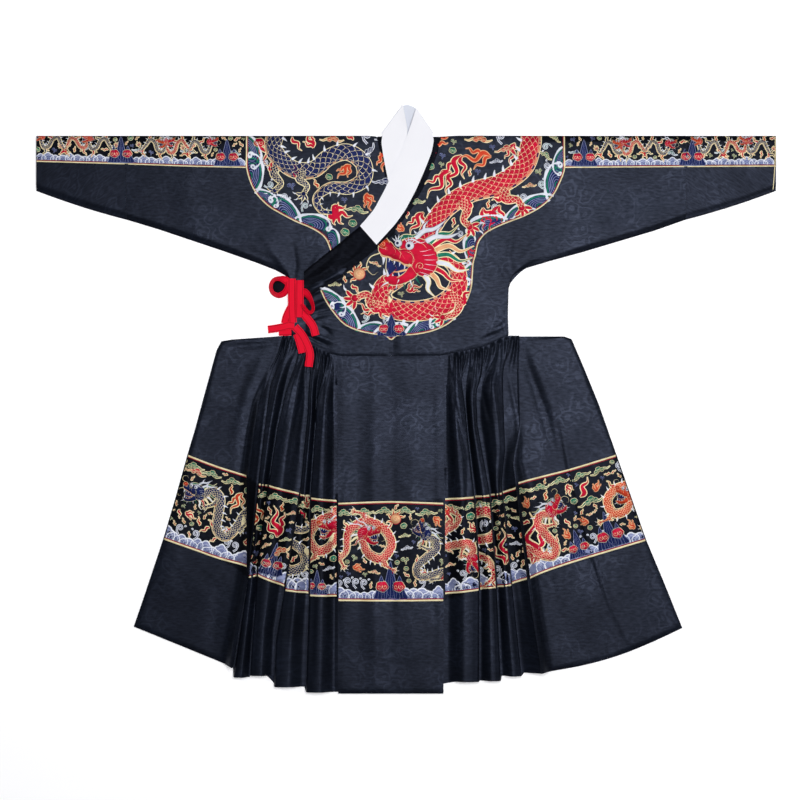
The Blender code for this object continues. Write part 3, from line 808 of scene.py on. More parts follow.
# %% [markdown]
# A knife pleat can't be laid as a panel, because its cloth runs under the next one. So each level
# gets a section of its own: a turn under the strip, a turn out round its edge, and then its face.

# %% Section of a pleat
def strip_section(edge, width, tuck, crest):
    """One pleat as way inwards and height. The last value of a point says if it is its face."""
    depth = tuck * width
    outer = min(OUTER_TURN, 0.3 * width)
    back = PLEAT_MIDDLE + 2 * INNER_TURN
    path = [(edge - 1.5, PLEAT_MIDDLE, 0)]
    for a in map(math.radians, np.linspace(-90, 90, 7)):
        inwards = edge + depth + INNER_TURN * math.cos(a)
        path.append((inwards, PLEAT_MIDDLE + INNER_TURN * (1 + math.sin(a)), 0))
    for a in map(math.radians, np.linspace(270, 90, 11)):
        path.append((edge + outer * (1 + math.cos(a)), back + outer * (1 + math.sin(a)), 0))
    top = back + 2 * outer
    for share in np.linspace(0.1 + outer / width, 0.93, 18):
        fall = (top - PLEAT_MIDDLE) * ease((share - 0.42) / 0.48)
        belly = crest * math.sin(math.pi * min(share / 0.8, 1)) ** 1.2
        path.append((edge + width * share, top - fall + belly, 1))
    return path


def gather_wave(seen, share):
    """Small gathers under the waist seam, no two alike. They open out by different lengths."""
    count = GATHERS * seen + 0.35 * np.sin(9.0 * seen + 0.6)
    tall = 0.75 + 0.25 * np.sin(23.0 * seen + 1.1)
    reach = 0.064 + 0.036 * np.sin(17.0 * seen)
    return GATHER_LIFT / 2 * (1 - np.cos(2 * math.pi * count)) * tall * np.exp(-share / reach)


print("a pleat 30 mm wide has", len(strip_section(0, 30, 0.3, 5)), "points across")


# %% Lay the pleats
def pleats(name, folds, strips, panel_edge, side):
    """Knife pleats between the fin and the middle panel. side is 1 where inwards is +X."""
    rows = []
    outer_x = folds[0][0][0]
    for share in [*np.linspace(0, 0.24, 62), *np.linspace(0.25, 1, 100)]:
        (start, level), *lines = [line_at(fold, share) for fold in folds]
        edges = [side * (x - start) for x in [*(x for x, _ in lines), panel_edge]]
        end = edges[-1]
        wall = valley_height(level, VALLEY_WALL - 2) * valley_wall(level, VALLEY_TOP[side])
        # the wall beside the fin first, then a strip at a time, then what the middle panel hides
        path = [
            (a * (edges[0] - 2), PLEAT_MIDDLE + wall * (1 - a / 0.95) ** 1.35, 1)
            for a in np.linspace(0, 0.9, 10)
        ]
        hems = [folds[0][-1][1]] * len(path)
        for k, (tuck, crest) in enumerate(strips):
            bend = strip_section(edges[k], edges[k + 1] - edges[k], tuck, crest * (1 - 0.35 * share))
            path += bend
            hems += [folds[k + 1][-1][1]] * len(bend)
        path += [
            (end - 4, PLEAT_MIDDLE + 0.3, 0), (end + HIDDEN_BEND, PLEAT_MIDDLE, 0),
            (end + PANEL_TUCK, PLEAT_MIDDLE, 0),
        ]
        hems += [hems[-1]] * 3
        way, z, face = np.array(path).T
        # at the waist the same cloth is spread evenly and gathered, and it opens out below
        seen = np.minimum(np.arange(len(way)) / (len(way) - 3), 1)
        gathered_way = (end - 4) * seen
        gathered_way[-2:] = way[-2:]
        opened = ease(share / GATHERED)
        calm = ease((end - 8 - gathered_way) / 10)
        gathered_z = PLEAT_MIDDLE + gather_wave(seen, share) * calm * ease(share / 0.015)
        top_x = outer_x + side * gathered_way * (panel_edge - outer_x) / (panel_edge - start)
        x = start + side * (gathered_way * (1 - opened) + way * opened)
        y = (waist(top_x) - GAP) * (1 - share) + np.array(hems) * share
        pressed = creased(x, y, PLEAT_CREASES) * face * ease(share / 0.1)
        z = np.maximum(z + pressed, PLEAT_MIDDLE)
        z = gathered_z * (1 - opened) + z * opened
        rows.append(np.column_stack([x, y, z]))
    points = np.array(rows)[::-1]
    across = lengths(points[len(points) // 2][:, [0, 2]])
    print(name, "cloth across:", round(float(across[-1])), "mm")
    flat = paired(side * across, points[..., 1])
    sheet(name, points, navy_satin, PLEAT_CLOTH, grow=0, flat=flat, turned=side < 0)


pleats("satin_pleats_left", LEFT_FOLDS, LEFT_STRIPS, PANEL_LEFT, 1)
pleats("satin_pleats_right", RIGHT_FOLDS, RIGHT_STRIPS, PANEL_RIGHT, -1)

# %% [markdown]
# ## The back
# The back lies on the table under everything else. Each half is one sheet from shoulder to hem,
# met at the centre seam, with a flat fin sewn to its skirt on each side.

# %% Lay the back
BACK_LEFT_SIDE = [
    (-660, -300), (-640, -315), (-600, -380), (-60, -330), (146, -262), (277, -266),
    (299, -301), (342, -419), (415, -644), (606, -644),
]
BACK_RIGHT_SIDE = [
    (-660, 60), (-636, 200), (-622, 296), (0, 245), (146, 234), (264, 236), (302, 272),
    (341, 409), (415, 644), (606, 644),
]


def back_rows(side_line, inner):
    """Rows of a back half, each from its side line to the centre seam."""
    y_side, x_side = zip(*side_line)
    return [(np.interp(y, y_side, x_side), y, inner, y) for y in np.linspace(-660, 603, 150)]


BACK_CREASES = [
    ([(-560, 560), (-420, 522), (-300, 474)], 16, 1.5),
    ([(-480, 474), (-390, 452), (-310, 430)], 13, 1.1),
    ([(300, 480), (430, 522), (570, 556)], 16, 1.5),
    ([(330, 440), (430, 464), (520, 482)], 12, 1.1),
    ([(-74, 20), (-80, -260), (-74, -560)], 14, 1.5),
    ([(8, 10), (16, -300), (8, -580)], 16, 1.3),
]


def flat_back(x, y, low, top, ends):
    """The height of a layer behind: flat, with soft creases clear of its edges."""
    clear = ease((np.minimum(low, top) - 8) / 20)
    return BACK_Z + CLOTH + creased(x, y, BACK_CREASES) * clear * ease((ends - 10) / 30)


panel("satin_back_left", back_rows(BACK_LEFT_SIDE, FRONT_SEAM), flat_back, 12, 24)
panel("satin_back_right", back_rows(BACK_RIGHT_SIDE, FRONT_SEAM + GAP), flat_back, 12, 24)
# The fins' back layers: the front layer's edge, how much narrower they are, their fold and sag
for name, edge, narrower, fold, sag in (
    ("left", FIN_LEFT_EDGE, 0.998, [(-268, 144), (-331, -60), (-381, -600), (-383, -615)], 0.0),
    ("right", FIN_RIGHT_EDGE, 0.997, [(239.4, 143), (245.4, 0), (296.4, -619)], 14.0),
):
    rows = fin_rows([(x * narrower, y - 1) for x, y in edge], fold, 0)
    panel(f"satin_fin_{name}_back", rows, flat_back, 12, 16, sag)

# %% [markdown]
# ## The collar and its guard
# The collar is a bias strip of blacker satin sewn round the neck edge. A strip of white cotton
# is tacked over it to keep it clean. It runs from the lapel, round the neck, and down the inside.

# %% Lay the collar
COLLAR_OVER = [
    (-235, 228, -235, 293), (-195, 254, -207, 317), (-134, 288, -148, 363), (-71, 339, -105, 399),
    (-35, 372, -70, 424), (-9, 404, -46, 446), (16, 436, -22, 470), (40, 481, 2, 505),
    (63, 532, 20, 548), (76, 568, 26, 580), (81, SHOULDER - 3, 30, SHOULDER - 3),
]
COLLAR_UNDER = [
    (-66, SHOULDER - 2, -20, SHOULDER - 2), (-64, 578, -20, 578), (-58, 545, -22, 545), (-50, 510, -30, 515),
]
COLLAR_BACK = [(-57, 604, -20, 654), (0, 604, 6, 657), (60, 604, 33, 652)]
COLLAR_CREASES = [
    ([(-232, 272), (-200, 284), (-160, 312)], 6, 2.0),
    ([(-234, 258), (-205, 264), (-165, 284)], 4, -1.4),
    ([(-228, 286), (-190, 312), (-150, 345)], 5, -1.2),
    ([(-150, 296), (-110, 330), (-80, 362)], 6, 1.2),
    ([(-190, 262), (-160, 286), (-120, 316)], 4, -1.0),
]


def collar_height(level, puff):
    """The height of a piece of the collar at this level, puffed up by puff mm."""
    def height(x, y, low, top, ends):
        near = np.minimum(low, top)
        soft = puff * ease(near / 9) - 0.5 * (1 - ease(near / 2.5))
        folds = creased(x, y, COLLAR_CREASES) * ease(ends / 6) * ease(near / 6)
        return np.maximum(level + CLOTH + soft + folds, CLOTH)
    return height


for name, rows, level, puff, step, across in (
    ("over", COLLAR_OVER, COLLAR_Z, 0.8, 3.0, 18),
    ("under", COLLAR_UNDER, OVER_Z, 0.0, 4.0, 10),
    ("back", COLLAR_BACK, BACK_Z, 0.0, 4.0, 12),
):
    panel(f"satin_collar_{name}", rows, collar_height(level, puff), step, across, look=collar_satin)

# %% [markdown]
# The guard is folded lengthwise and runs over the collar, round the neck and down inside. So it
# is laid along a table of its two edges, and turns over wherever its level changes.

# %% Lay the guard
# Its sewn edge and its free edge on the page, and its level
GUARD = [
    (-68, 355, -106, 398, GUARD_Z), (-25, 402, -74, 435, GUARD_Z), (-2, 434, -51, 478, GUARD_Z),
    (23, 481, -38, 505, GUARD_Z), (46, 534, -21, 551, GUARD_Z), (59, 568, -5, 587, GUARD_Z),
    (64, 596, 7, 619, GUARD_Z), (60, 611, 22, 666, GUARD_Z), (60, 611, 22, 671, UNDER_Z),
    (0, 604, 3, COLLAR_TOP, UNDER_Z), (-54, 611, -7, 675, UNDER_Z), (-54, 611, -7, 675, COLLAR_Z),
    (-57, 590, 4, 617, COLLAR_Z), (-51, 551, -4, 580, COLLAR_Z), (-41, 501, -23, 524, COLLAR_Z),
]


def guard(name):
    """The guard from the lapel round the neck. It turns over where its level changes."""
    rows = []
    for here, after in zip(GUARD, GUARD[1:]):
        sewn_x, sewn_y, free_x, free_y, z = here
        if after[4] != z and after[1] == sewn_y:
            turn = (after[4] - z) / 2
            outward = 1 if z > UNDER_Z else -1
            for a in map(math.radians, range(0, 180, 15)):
                out = outward * abs(turn) * math.sin(a)
                up = 0.6 * abs(out)
                height = z + CLOTH / 2 + turn * (1 - math.cos(a))
                rows.append((sewn_x + out, sewn_y + up, height, free_x + out, free_y + up, height))
        else:
            first, last = (
                np.array((*row[:2], row[4] + CLOTH / 2, *row[2:4], row[4] + CLOTH / 2))
                for row in (here, after)
            )
            for share in np.linspace(0, 1, 8, endpoint=False):
                rows.append(first * (1 - share) + last * share)
    rows.append(last)
    ends = np.array(rows)
    for _ in range(3):
        ends[1:-1, [0, 1, 3, 4]] = (ends[:-2] + 2 * ends[1:-1] + ends[2:])[:, [0, 1, 3, 4]] / 4
    share = np.linspace(0, 1, 17)[:, None]
    points = ends[:, :3] * (1 - share[..., None]) + ends[:, 3:] * share[..., None]
    # it stands up a little where it is open round the back of the neck
    from_neck = -(((points[..., 0] - 10) / 24) ** 2) - ((points[..., 1] - 650) / 30) ** 2
    puff = 0.5 * np.sin(math.pi * share) ** 0.6 + 6.5 * np.exp(from_neck) * share**2
    points[..., 2] += puff * (points[..., 2] > COLLAR_Z)
    way = lengths(points[8])
    width = np.linalg.norm(points[-1] - points[0], axis=1)
    print("guard:", round(float(way[-1])), "mm long,", round(float(width.mean())), "mm wide")
    sheet(name, points, white_cotton, CLOTH, grow=0, flat=paired(way, share * width))


guard("cotton_collar_guard")
# painted shade: the attribute called shade is 1 on the guard's layers below the collar round the back of the
# neck
mesh = CLOTHS["collar_guard"].data
shade = mesh.attributes.new("shade", "FLOAT", "POINT")
for k, vertex in enumerate(mesh.vertices):
    x, y, z = vertex.co / MM
    shade.data[k].value = ease((COLLAR_Z + 1 - z) / 2) * ease((y - 600) / 10)

# %% [markdown]
# ## The ties
# Two pairs of grosgrain tape are knotted at the side. Each length of tape follows a smooth line
# of points with a roll, so that it can lie flat, stand on its edge in a loop, or cross another.

# %% Lay the ties
TIES = {
    "tie_upper_loop_left": [
        (-256, 258, 4.8, 0), (-266, 264, 5.6, 0), (-277, 273, 7.4, 16), (-290, 277, 9.0, 50),
        (-304, 274, 9.2, 60), (-311, 261, 9.2, 60), (-308, 246, 9.2, 60), (-295, 238, 9.0, 55),
        (-281, 243, 8.4, 45), (-273, 254, 8.4, 45), (-268, 268, 7.0, 20),
    ],
    "tie_upper_loop_right": [
        (-247, 245, 4.8, 0), (-237, 246, 8.2, 0), (-228, 242, 13.4, 35), (-218, 226, 14.4, 60),
        (-214, 207, 14.2, 64), (-221, 199, 12.0, 62), (-230, 207, 10.4, 62), (-239, 219, 9.6, 60),
    ],
    "tie_upper_strap_left": [
        (-262.6, 277, 7.4, 0), (-262.6, 266, 8.2, 0), (-262.6, 244, 7.2, 0), (-262.4, 212, 7.2, 0),
        (-260.5, 176, 5.8, 0),
    ],
    "tie_upper_strap_right": [
        (-244.4, 273, 8.2, 0), (-244.4, 260, 11.4, 0), (-244.4, 245, 12.0, 0), (-244.6, 218, 10.8, 0),
        (-245.5, 188, 8.8, 0),
    ],
    "tie_upper_tail": [(-239, 200, 8.0, 0), (-226, 184, 10.4, 0), (-214, 167, 10.8, 0), (-208, 146, 9.6, 0)],
    "tie_upper_end": [(-258, 219, 4.6, 0), (-267, 207, 4.5, 0), (-275, 190, 4.4, 8), (-279, 174, 2.4, 0)],
    "tie_lower_left": [
        (-318, 160, 1.4, 0), (-303, 162, 3.2, 0), (-286, 165, 4.9, 0), (-270, 169, 5.9, 0),
        (-257, 168, 6.2, 0),
    ],
    "tie_lower_under": [
        (-293, 154.6, 1.4, 0), (-280, 154.6, 2.6, 0), (-269, 155, 4.2, 0), (-264, 155, 4.3, 0),
    ],
    "tie_lower_branch": [(-251, 150, 5.2, 0), (-246, 136, 6.9, 0), (-242, 122, 7.6, 0), (-238, 106, 8.6, 0)],
    "tie_lower_tail": [
        (-256, 166, 8.0, 0), (-241, 150, 7.6, 0), (-229, 128, 8.0, 0), (-221, 104, 9.8, 0),
        (-224, 74, 9.4, 0),
    ],
}


def curve(points, step):
    """Points along a smooth line through the given ones, about step mm apart."""
    line = np.asarray(points, float)
    line = np.vstack([2 * line[0] - line[1], line, 2 * line[-1] - line[-2]])
    parts = []
    for a, b, c, d in zip(line, line[1:], line[2:], line[3:]):
        count = max(1, round(float(np.hypot(*(c - b)[:2])) / step))
        share = (np.arange(count) / count)[:, None]
        parts.append(
            0.5 * (2 * b + (c - a) * share + (2 * a - 5 * b + 4 * c - d) * share**2
                   + (3 * b - a - 3 * c + d) * share**3)
        )
    return np.vstack([*parts, line[-2]])


def tape(name, route):
    """One length of tape. Each point of its route is x, y, z and a roll in degrees."""
    path = curve(route, 1.6)
    ahead = np.gradient(path[:, :2], axis=0)
    ahead /= np.linalg.norm(ahead, axis=1)[:, None]
    roll = np.radians(path[:, 3])
    level = np.cos(roll)
    reach = np.column_stack([-ahead[:, 1] * level, ahead[:, 0] * level, np.sin(roll)]) * TAPE_WIDTH / 2
    across = np.linspace(-1, 1, 9)[:, None]
    points = path[:, :3] + reach * across[..., None]
    limp = 1 + 0.9 * np.sin(np.arange(len(path)) / 5 + path[0, 0])
    points[..., 2] += 0.42 * limp * (1 - across**2) * level
    way = lengths(path[:, :3])
    print(name, round(float(way[-1])), "mm of tape")
    sheet(f"tape_{name}", points, red_tape, TAPE, grow=0, flat=paired(way, across * TAPE_WIDTH / 2))


for name, route in TIES.items():
    tape(name, route)
# the loop's inner side is in deep shade, so a small dark pad is put in its hole as a painted shadow
bpy.ops.mesh.primitive_uv_sphere_add(segments=28, ring_count=12, radius=1, location=(0, 0, 0))
loop_shadow_pad = bpy.context.object
loop_shadow_pad.name = "painted_shadow_in_loop"
loop_shadow_pad.scale = (0.0185, 0.0165, 0.0018)
loop_shadow_pad.location = (-0.2945, 0.2575, 0.0028)
bpy.ops.object.transform_apply(location=True, rotation=False, scale=True)
loop_shadow_pad.data.materials.append(collar_satin)
bpy.ops.object.shade_smooth()
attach(loop_shadow_pad, "root")

# %% [markdown]
# ## Embroidery
# The robe carries a cloud collar over chest and shoulders, a band along each sleeve and one at the
# knee. They hold what such robes have always held: dragons, clouds, wave crests and rocks, in
# couched gold and silk floss. The motifs here are drawn afresh, in a layout of their own.
# Each line of stitching is a thin raised strip. It is drawn flat on the page first, and then it is
# dropped straight down on to the cloth, so it follows every crease under it.

# %% Threads
def floss(name, light, deep, metal=0.4):
    """Satin stitch: threads lie across the line, drawn 1.4 mm apart so that they show. Silk keeps
    its own colour in its shine, so it is given a share of metal."""
    material, add, shader = blank(name)
    flat, place = (add("TexCoord").outputs[kind] for kind in ("UV", "Object"))
    stitch = {"Vector": flat, "Scale": 220.0, "Distortion": 1.5}
    thread = add("TexWave", stitch, bands_direction="X").outputs[1]
    worn = add("TexNoise", {"Vector": place, "Scale": 60.0, "Detail": 2.0})
    share = add("Math", {0: thread, 1: 0.45, 2: worn}, operation="MULTIPLY_ADD")
    look = add("MapRange", {"Value": share, "From Min": 0.35, "From Max": 0.95})
    colour = add("Mix", {0: look, 6: tint(deep), 7: tint(light)}, data_type="RGBA")
    bump = add("Bump", {"Height": thread, "Strength": 0.3, "Distance": 0.0003})
    feed(shader, {
        "Base Color": colour.outputs[2], "Normal": bump, "Roughness": 0.45, "Metallic": metal,
        "Specular IOR Level": 0.07,
    })
    return material


THREADS = {
    "gold": floss("couched_gold_thread", "#E9DFB8", "#C6B384", 0.2),
    "red": floss("red_silk_floss", "#B40B2F", "#860721"),
    "orange": floss("orange_silk_floss", "#BB3D23", "#952816"),
    "peach": floss("peach_silk_floss", "#CA9E79", "#AE734C"),
    "navy": floss("navy_silk_floss", "#152050", "#0A1031"),
    "lavender": floss("lavender_silk_floss", "#868DAE", "#535C85"),
    "white": floss("white_silk_floss", "#E4E6EE", "#BCC1D0", 0.1),
    "green": floss("green_silk_floss", "#197059", "#0C4538"),
}
print("threads:", ", ".join(THREADS))

# %% Lines and patches of stitches
# How high a stitch's edge lies over the cloth
THREAD_EDGE = 0.04


def outwards(path):
    """Steps of 1 along a path at each of its points, and to the left of it."""
    ahead = np.gradient(path, axis=0)
    ahead /= np.maximum(np.hypot(*ahead.T), 1e-6)[:, None]
    return ahead, np.column_stack([-ahead[:, 1], ahead[:, 0]])


def strip(thread, path, half, lift, columns=3):
    """A raised strip along a path, half as wide as half says at each point or all along. A design
    is a list of such tuples: thread, points, faces and uv."""
    half = np.broadcast_to(half, len(path))
    across = np.linspace(-1, 1, columns)
    page = path[:, None] + outwards(path)[1][:, None] * (half[:, None] * across)[..., None]
    tall = np.broadcast_to(THREAD_EDGE + lift * np.sqrt(1 - across**2), page.shape[:2])
    points = np.concatenate([page, tall[..., None]], axis=2).reshape(-1, 3)
    index = np.arange(len(points)).reshape(page.shape[:2])
    faces = np.stack([index[:-1, :-1], index[1:, :-1], index[1:, 1:], index[:-1, 1:]], axis=-1).reshape(-1, 4)
    flat = paired(lengths(path)[:, None], half[:, None] * across).reshape(-1, 2)
    return (thread, points, faces, flat)


def line(
    thread, points, width, taper=(0.0, 0.0), lift=0.5, step=4.0, columns=3, edge=None, edge_width=1.7,
):
    """One smooth line of satin stitch. width may be a list along it. edge adds a couched outline."""
    path = curve(points, step)
    share = lengths(path)
    share /= share[-1]
    half = np.interp(share, np.linspace(0, 1, np.size(width)), np.atleast_1d(width)) / 2
    if taper[0]:
        half = half * np.clip(share / taper[0], 0.05, 1) ** 0.7
    if taper[1]:
        half = half * np.clip((1 - share) / taper[1], 0.05, 1) ** 0.7
    made = [strip(thread, path, half, lift, columns)]
    if edge:
        made.insert(0, strip(edge, path, half + edge_width, lift * 0.45))
    return made


def patch(thread, outline, lift=0.5, edge=None, edge_width=1.8):
    """A filled shape round its own middle, with a couched outline if edge names a thread."""
    rim = curve([*outline, outline[0]], 4.0)[:-1]
    middle = rim.mean(0)
    inner = middle + (rim - middle) * 0.86
    count = len(rim)
    points = np.vstack([
        np.column_stack([rim, np.full(count, THREAD_EDGE)]), np.column_stack([inner, np.full(count, lift)]),
        [[*middle, lift]],
    ])
    a = np.arange(count)
    b = (a + 1) % count
    centre = np.full(count, 2 * count)
    faces = np.vstack([
        np.column_stack([a, b, b + count, a + count]),
        np.column_stack([a + count, b + count, centre, centre]),
    ])
    turn = np.sum(rim[:, 0] * np.roll(rim[:, 1], -1) - rim[:, 1] * np.roll(rim[:, 0], -1))
    if turn < 0:
        faces = faces[:, ::-1]
    made = [(thread, points, faces, points[:, :2])]
    if edge:
        made.append(strip(edge, np.vstack([rim, rim[:1]]), edge_width / 2, lift + 0.1))
    return made


print("a line of stitching has", len(line("red", [(0, 0), (40, 0)], 3)[0][2]), "faces in 40 mm")


# %% Helpers for motifs
def moved(design, x, y, size=1.0, turn=0.0, mirror=False):
    """A design at another place. turn is in degrees, and mirror swaps its left and right."""
    a = math.radians(turn)
    spin = size * np.array([[math.cos(a), math.sin(a)], [-math.sin(a), math.cos(a)]])
    made = []
    for thread, points, faces, flat in design:
        page = points[:, :2] * ((-1, 1) if mirror else (1, 1)) @ spin + (x, y)
        faces = faces[:, ::-1] if mirror else faces
        made.append((thread, np.column_stack([page, points[:, 2]]), faces, flat))
    return made


def spiral(radius, turns=1.3, hand=1, start=0.0, x=0.0, y=0.0):
    """A line that winds inwards. hand is 1 where it winds to the left."""
    share = np.linspace(0, 1, int(9 * turns) + 2)
    angle = math.radians(start) + hand * 2 * math.pi * turns * share
    far = radius * (1 - 0.82 * share)
    return np.column_stack([x + far * np.cos(angle), y + far * np.sin(angle)])


def ring(step):
    """Points of a circle of radius 1, step degrees apart."""
    angle = np.radians(np.arange(0, 360, step))
    return np.column_stack([np.cos(angle), np.sin(angle)])


def towards(turn):
    """A step of 1 on the page in this direction, in degrees."""
    return np.array((math.cos(math.radians(turn)), math.sin(math.radians(turn))))


def scaled(points, size):
    """Points of a table for a motif that is size mm large."""
    return [(x * size, y * size) for x, y in points]


print("a ring of ten-degree steps has", len(ring(10)), "points")


# %% [markdown]
# The small motifs come next. Each is drawn once round its own middle, and the layout further down
# sets it where it is wanted, larger or smaller and turned.

# %% Clouds and flames
def cloud_head(thread, radius, edge="gold"):
    """The curled head of a lucky cloud: a round of lobes with two curls in it."""
    angle = np.radians(np.arange(0, 360, 24))
    far = radius * (0.86 + 0.16 * np.abs(np.cos(2.5 * angle + 0.3)))
    made = patch(thread, np.column_stack([far * np.cos(angle), 0.86 * far * np.sin(angle)]), 0.6, edge, 1.3)
    for hand in (-1, 1):
        curl = spiral(radius * 0.42, 1.2, hand, 90 + 60 * hand, hand * radius * 0.4, -0.05 * radius)
        made.append(strip(edge, curl, 0.8, 0.95))
    return made


def cloud(thread, size, tail_thread=None, edge="gold"):
    """A small cloud of three heads with a long wavering tail on each side."""
    made = []
    for points, width in (
        ([(-0.4, 0), (-1.0, 0.16), (-1.5, -0.06), (-2.1, 0.1)], 0.34),
        ([(0.4, -0.1), (1.0, -0.24), (1.7, 0)], 0.3),
    ):
        tail = scaled(points, size)
        made += line(tail_thread or thread, tail, width * size, (0.1, 0.9), 0.45, edge=edge, edge_width=1.3)
    for x, y, radius in ((-0.55, 0.1, 0.42), (0.5, 0.02, 0.4), (0, 0.36, 0.5)):
        made += moved(cloud_head(thread, radius * size, edge), x * size, y * size)
    return made


def flame(thread, length, width, edge="gold"):
    """A tongue of flame that wavers from its root at the origin up along Y."""
    points = scaled([(0, 0), (0.13, 0.25), (-0.08, 0.5), (0.09, 0.76), (0, 1)], length)
    widths = [width * 0.5, width, width * 0.7, width * 0.5, 0.8]
    return line(thread, points, widths, (0.14, 0.3), 0.6, 3.0, edge=edge, edge_width=1.3)


def flame_branch(thread, length, width, edge="gold"):
    """Three tongues of one flame that lean the same way, the middle one longest."""
    made = moved(flame(thread, length * 0.66, width * 0.75, edge), -0.02 * length, 0.0, 1, 30)
    made += moved(flame(thread, length * 0.5, width * 0.7, edge), 0.1 * length, 0.3 * length, 1, -24)
    return made + flame(thread, length, width, edge)


print("a branch of flame has", len(flame_branch("red", 60, 9)), "lines")


# %% Waves, rocks and the pearl
def hump(wide, tall):
    """One rounded wave of the band: lavender water with fine lines under a lumpy white crest."""
    angle = np.radians(np.linspace(180, 0, 13))

    def arc(share, lean=0.0, lump=0.0):
        far = share + lump * np.abs(np.sin(3.0 * angle))
        return np.column_stack([far * wide / 2 * np.cos(angle) + lean, far * tall * np.sin(angle)])
    made = patch("lavender", arc(1.0)[::2], 0.3)
    for share, thread, half in ((0.26, "navy", 1.1), (0.5, "navy", 1.0), (0.72, "white", 0.5)):
        made.append(strip(thread, arc(share, 0.05 * wide)[::2], half, 0.45))
    made.append(strip("white", arc(0.9, 0, 0.14), 0.038 * wide + 0.4, 0.65))
    return made


def foam(thread, radius):
    """A curl of foam on its stem, thrown up behind the waves, with a drop beside it."""
    stem = np.vstack([scaled([(0.1, -1.7), (-0.55, -1.0)], radius), spiral(radius * 0.8, 1.25, -1, 180)])
    drop = spiral(radius * 0.3, 0.95, 1, 0, 1.15 * radius, 0.75 * radius)
    return [
        strip("white", stem, 0.24 * radius, 0.35), strip(thread, stem, 0.13 * radius, 0.6),
        strip("white", drop, 0.12 * radius, 0.5),
    ]


def sprig(thread, size, edge="gold"):
    """Two curls that part from one stem, used where a little ground lies bare."""
    made = []
    for side, share in ((-1, 1.0), (1, 0.7)):
        middle = (side * size * 0.5 * share, size * 0.25 * share)
        curl = spiral(size * 0.4 * share, 1.1, -side, 90 - 90 * side, *middle)
        stem = np.vstack([scaled([(0, -0.9), (0, -0.3)], size), curl])
        made += [strip(edge, stem, 0.15 * size, 0.35), strip(thread, stem, 0.1 * size, 0.6)]
    return made


PEAK = [
    (-1, 0), (-0.7, 0.3), (-0.42, 0.62), (-0.12, 0.92), (0, 1), (0.12, 0.92), (0.42, 0.62), (0.7, 0.3),
    (1, 0),
]


def rock(tall, wide):
    """Three sharp peaks of navy rock with pale seams, and a red cloud head on either side."""
    made = []
    for x, share, base in ((-0.3, 0.62, 0.26), (0.3, 0.62, 0.26), (0.0, 1.0, 0.3)):
        shape = np.array(PEAK) * (base * wide, share * tall) + (x * wide, 0)
        made += patch("navy", shape, 0.45, "lavender", 1.3)
        for lean in (-0.45, 0.0, 0.45):
            seam = [
                (x * wide + lean * base * wide, 1), (x * wide + lean * 0.5 * base * wide, 0.5 * share * tall),
                (x * wide, 0.86 * share * tall),
            ]
            made += line("lavender", seam, 1.1, (0, 0.5), 0.7, 5)
    for side in (-1, 1):
        made += moved(cloud_head("red", 0.17 * wide + 0.04 * tall), side * 0.27 * wide, 0.33 * tall)
    return made


def pearl(radius):
    """The flaming pearl that the dragons follow."""
    made = []
    for turn in (-70, -25, 20, 65, 115):
        made += moved(flame("orange", radius * 2.0, radius * 0.55), 0, 0, 1, turn)
    made += patch("peach", radius * ring(30), 0.9, "red")
    return made + [strip("gold", spiral(radius * 0.6, 1.2), 0.9, 1.2)]


print("a rock has", len(rock(60, 60)), "lines and patches")


# %% [markdown]
# ## The dragons
# A dragon is worked over a line from its neck to its tail. Its body is a domed strip with a
# couched outline, and its scales are rows of small gold arcs, each row half a scale along from
# the last. Belly bands, back spines, legs and a tail tuft follow the same line. The head is drawn
# once, looking left, on a grid of its own where it is about a hundred units long.

# %% Scales
def along_line(path, way, at):
    """Places, directions and outward directions at distances along a path."""
    place = np.column_stack([np.interp(at, way, path[:, k]) for k in (0, 1)])
    ahead = np.column_stack([np.interp(at, way, np.gradient(path[:, k])) for k in (0, 1)])
    ahead /= np.hypot(*ahead.T)[..., None]
    return place, ahead, np.column_stack([-ahead[:, 1], ahead[:, 0]])


def scales(path, way, half, cell, lift, keep=0.72, weight=0.56):
    """Rows of small gold arcs. They leave the belly free, beyond keep times the half width."""
    arcs = []
    u = np.linspace(-1, 1, 7)
    for k, start in enumerate(np.arange(cell * 0.5, way[-1] - cell, cell * 0.72)):
        here = np.interp(start, way, half)
        count = max(1, round(here * (1 + keep) / cell))
        lane = here * (1 + keep) / count
        for j in range(count + (k % 2)):
            centre = -here + lane * (j + (0.0 if k % 2 else 0.5))
            across = np.clip(centre + u * lane / 2, -here, here * keep)
            arcs.append((start + cell * 0.72 * (1 - u**2), across))
    along, across = (np.concatenate(part) for part in zip(*arcs))
    place, ahead, out = along_line(path, way, along)
    here = np.interp(along, way, half)
    dome = np.sqrt(np.clip(1 - (across / np.maximum(here, 1)) ** 2, 0, 1))
    tall = THREAD_EDGE + lift * dome + 0.22
    middle = place + out * across[:, None]
    points = np.stack([
        np.column_stack([middle - ahead * weight, tall]), np.column_stack([middle + ahead * weight, tall]),
    ], axis=1).reshape(-1, 3)
    base = (np.arange(len(arcs))[:, None] * 7 + np.arange(6)) * 2
    faces = np.stack([base, base + 1, base + 3, base + 2], axis=-1).reshape(-1, 4)
    flat = np.column_stack([np.repeat(across, 2), np.tile([0, 1.5], len(along))])
    return [("gold", points, faces, flat)]


print("each scale is a gold arc of six faces")


